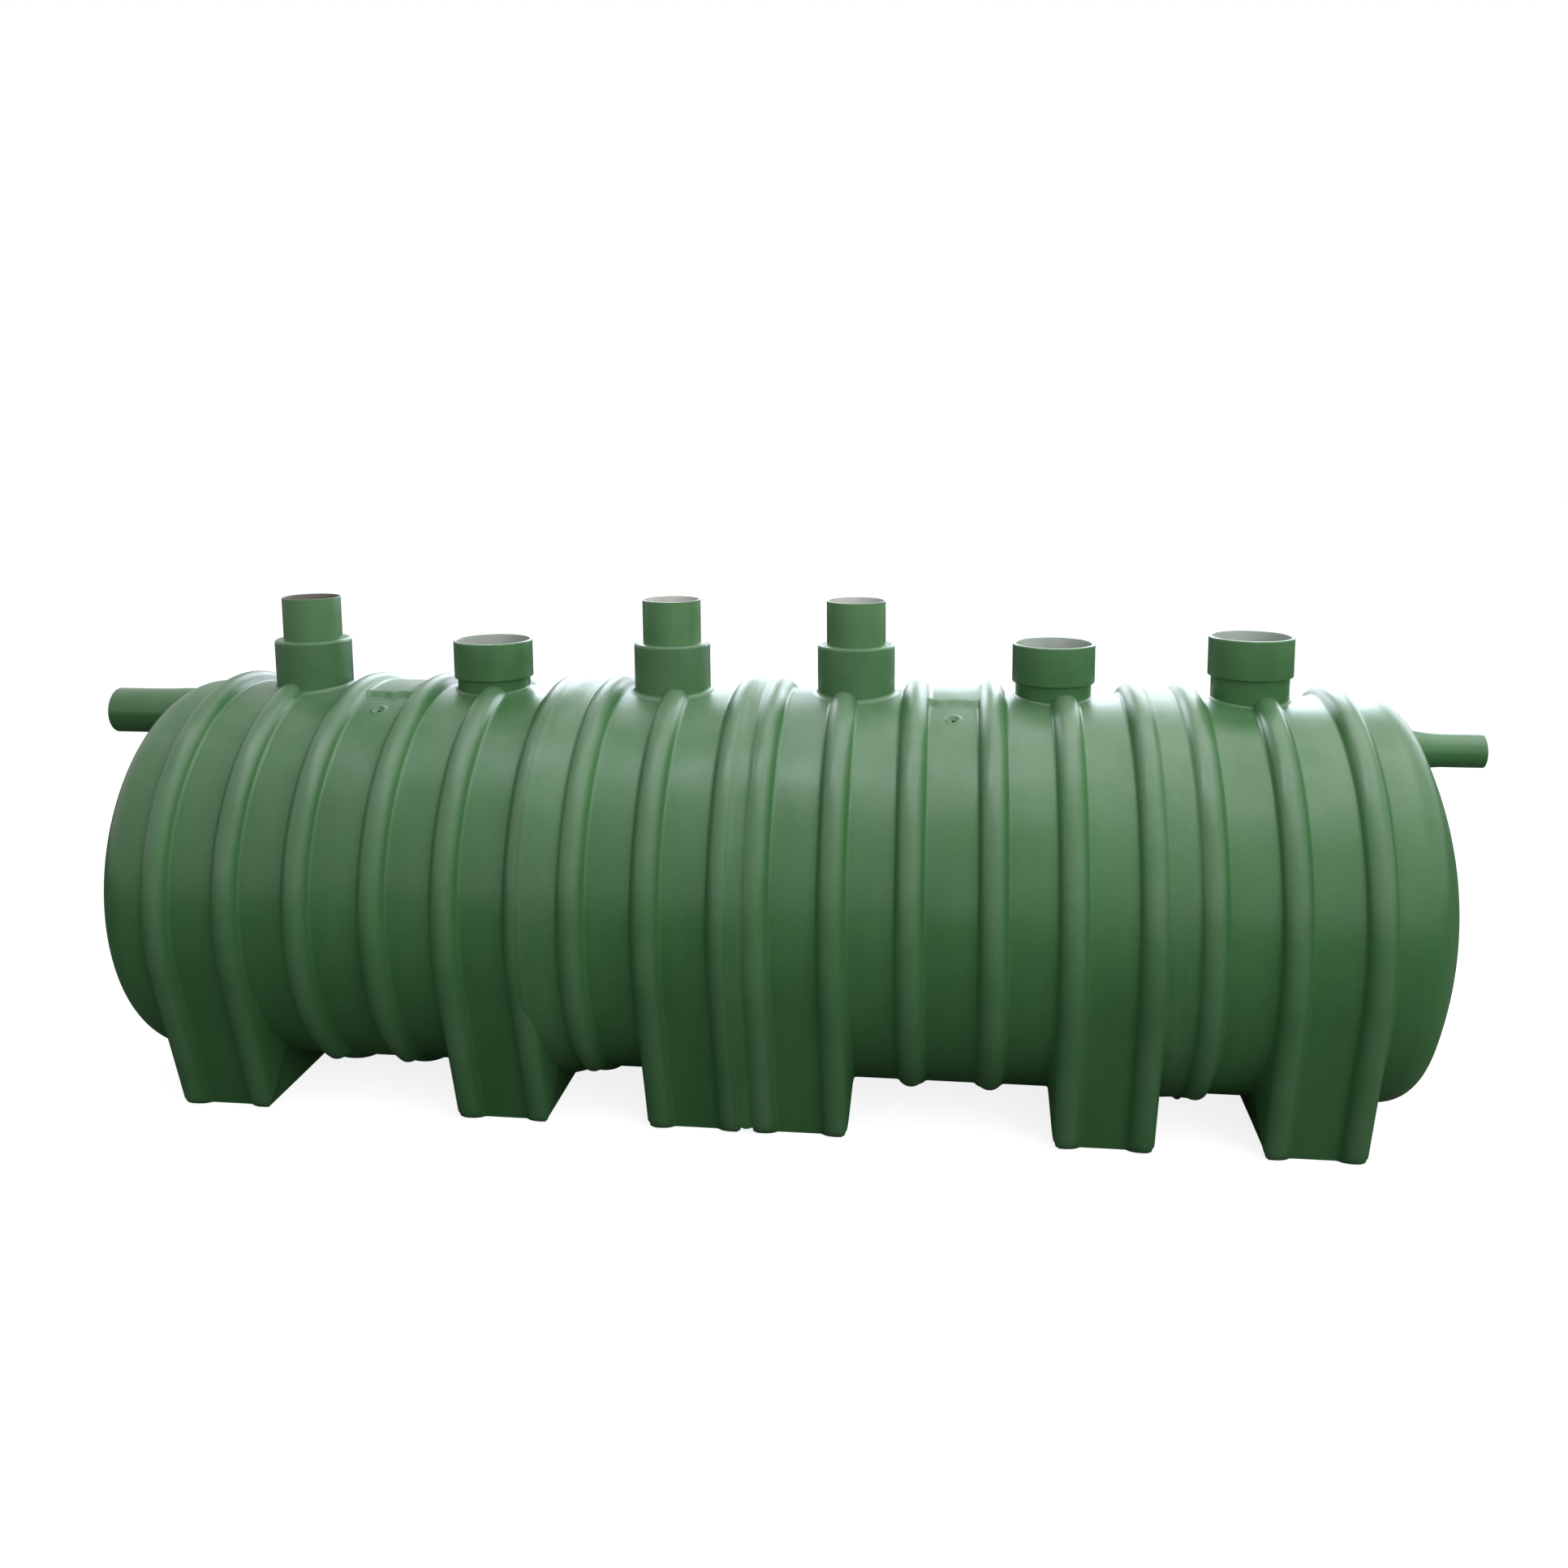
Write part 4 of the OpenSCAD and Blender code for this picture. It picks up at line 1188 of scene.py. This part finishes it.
# %% Floor
FLOOR, FLOOR_GLOW = 40, 0.84
floor_mesh = bpy.data.meshes.new("floor")
corners = [(-FLOOR, -FLOOR, 0), (FLOOR, -FLOOR, 0), (FLOOR, FLOOR, 0), (-FLOOR, FLOOR, 0)]
floor_mesh.from_pydata(corners, [], [(0, 1, 2, 3)])
floor = bpy.data.objects.new("floor", floor_mesh)
floor.location.z = -0.0005
bpy.context.scene.collection.objects.link(floor)
floor_material = bpy.data.materials.new("floor")
floor_material.use_nodes = True
t = floor_material.node_tree
shader = t.nodes["Principled BSDF"]
shader.inputs["Roughness"].default_value = 0.9
shader.inputs["Specular IOR Level"].default_value = 0.0
seen = add(t, "ShaderNodeLightPath", out=0)
t.links.new(blend_colour(t, seen, (0.10, 0.13, 0.10, 1), (0.55, 0.55, 0.55, 1)),
            shader.inputs["Base Color"])
t.links.new(blend_colour(t, seen, (0, 0, 0, 1), (1, 1, 1, 1)), shader.inputs["Emission Color"])
shader.inputs["Emission Strength"].default_value = FLOOR_GLOW
floor_mesh.materials.append(floor_material)
print("floor", 2 * FLOOR, "m wide")

# %% [markdown]
# ## World and lamps
# The camera and the gloss see a plain white world, and the pieces are lit by a dimmer sky. One
# big lamp hangs over the tank, and two softer ones fill its side and front. The last lamps show
# only in the gloss of the crown, where they draw the long highlights that bright clouds give.

# %% World and lamps
SKY = 0.47
world = bpy.data.worlds.new("world")
bpy.context.scene.world = world
world.use_nodes = True
t = world.node_tree
path = t.nodes.new("ShaderNodeLightPath")
direct = calc(t, "MAXIMUM", path.outputs["Is Camera Ray"], path.outputs["Is Glossy Ray"])
direct = calc(t, "MAXIMUM", direct, path.outputs["Is Transmission Ray"])
plain = add(t, "ShaderNodeBackground", Color=(1, 1, 1, 1), Strength=1.0)
sky = add(t, "ShaderNodeBackground", Color=(0.95, 0.98, 1.0, 1), Strength=SKY)
both = add(t, "ShaderNodeMixShader", Fac=direct, i1=sky, i2=plain)
t.links.new(both, t.nodes["World Output"].inputs["Surface"])


def soft_light(name, place, aim, width, height, power, colour=(1, 1, 1)):
    """A broad soft lamp that points at a spot."""
    data = bpy.data.lights.new(name, "AREA")
    data.shape, data.size, data.size_y = "RECTANGLE", width, height
    data.energy, data.color = power, colour
    lamp = bpy.data.objects.new(name, data)
    bpy.context.scene.collection.objects.link(lamp)
    lamp.matrix_world = towards(Vector(place) - Vector(aim), place)
    return lamp


soft_light("overhead", (3.0, -0.3, 6.6), (3.0, -0.3, 0.8), 7, 8, 310)
side = soft_light("side", (6.0, -5.5, 4.8), (0.5, 0, 0.7), 5, 4, 195)
side.visible_glossy = False
front = soft_light("front", (3.0, -9.0, 4.5), (1.4, 0, 0.9), 5, 3, 95)
front.visible_glossy = False
COOL = (0.80, 0.88, 1.0)
for name, place, aim, width, height, power in (
        ("low_sky", (2.8, 9.0, 3.2), (0.9, 0, 1.3), 14, 3.2, 500),
        ("right_cloud", (2.6, 6.2, 4.5), (1.3, -0.1, 1.3), 3.0, 2.4, 210),
        ("left_cloud", (-2.2, 6.2, 4.6), (-0.6, -0.1, 1.3), 2.6, 2.6, 190),
        ("high_cloud", (-1.5, -1.3, 6.4), (-1.5, -1.3, 0.8), 3.2, 0.9, 62)):
    soft_light(name, place, aim, width, height, power, COOL).visible_diffuse = False

bpy.context.scene.view_settings.view_transform = "Standard"
print(len(bpy.data.lights), "lamps")
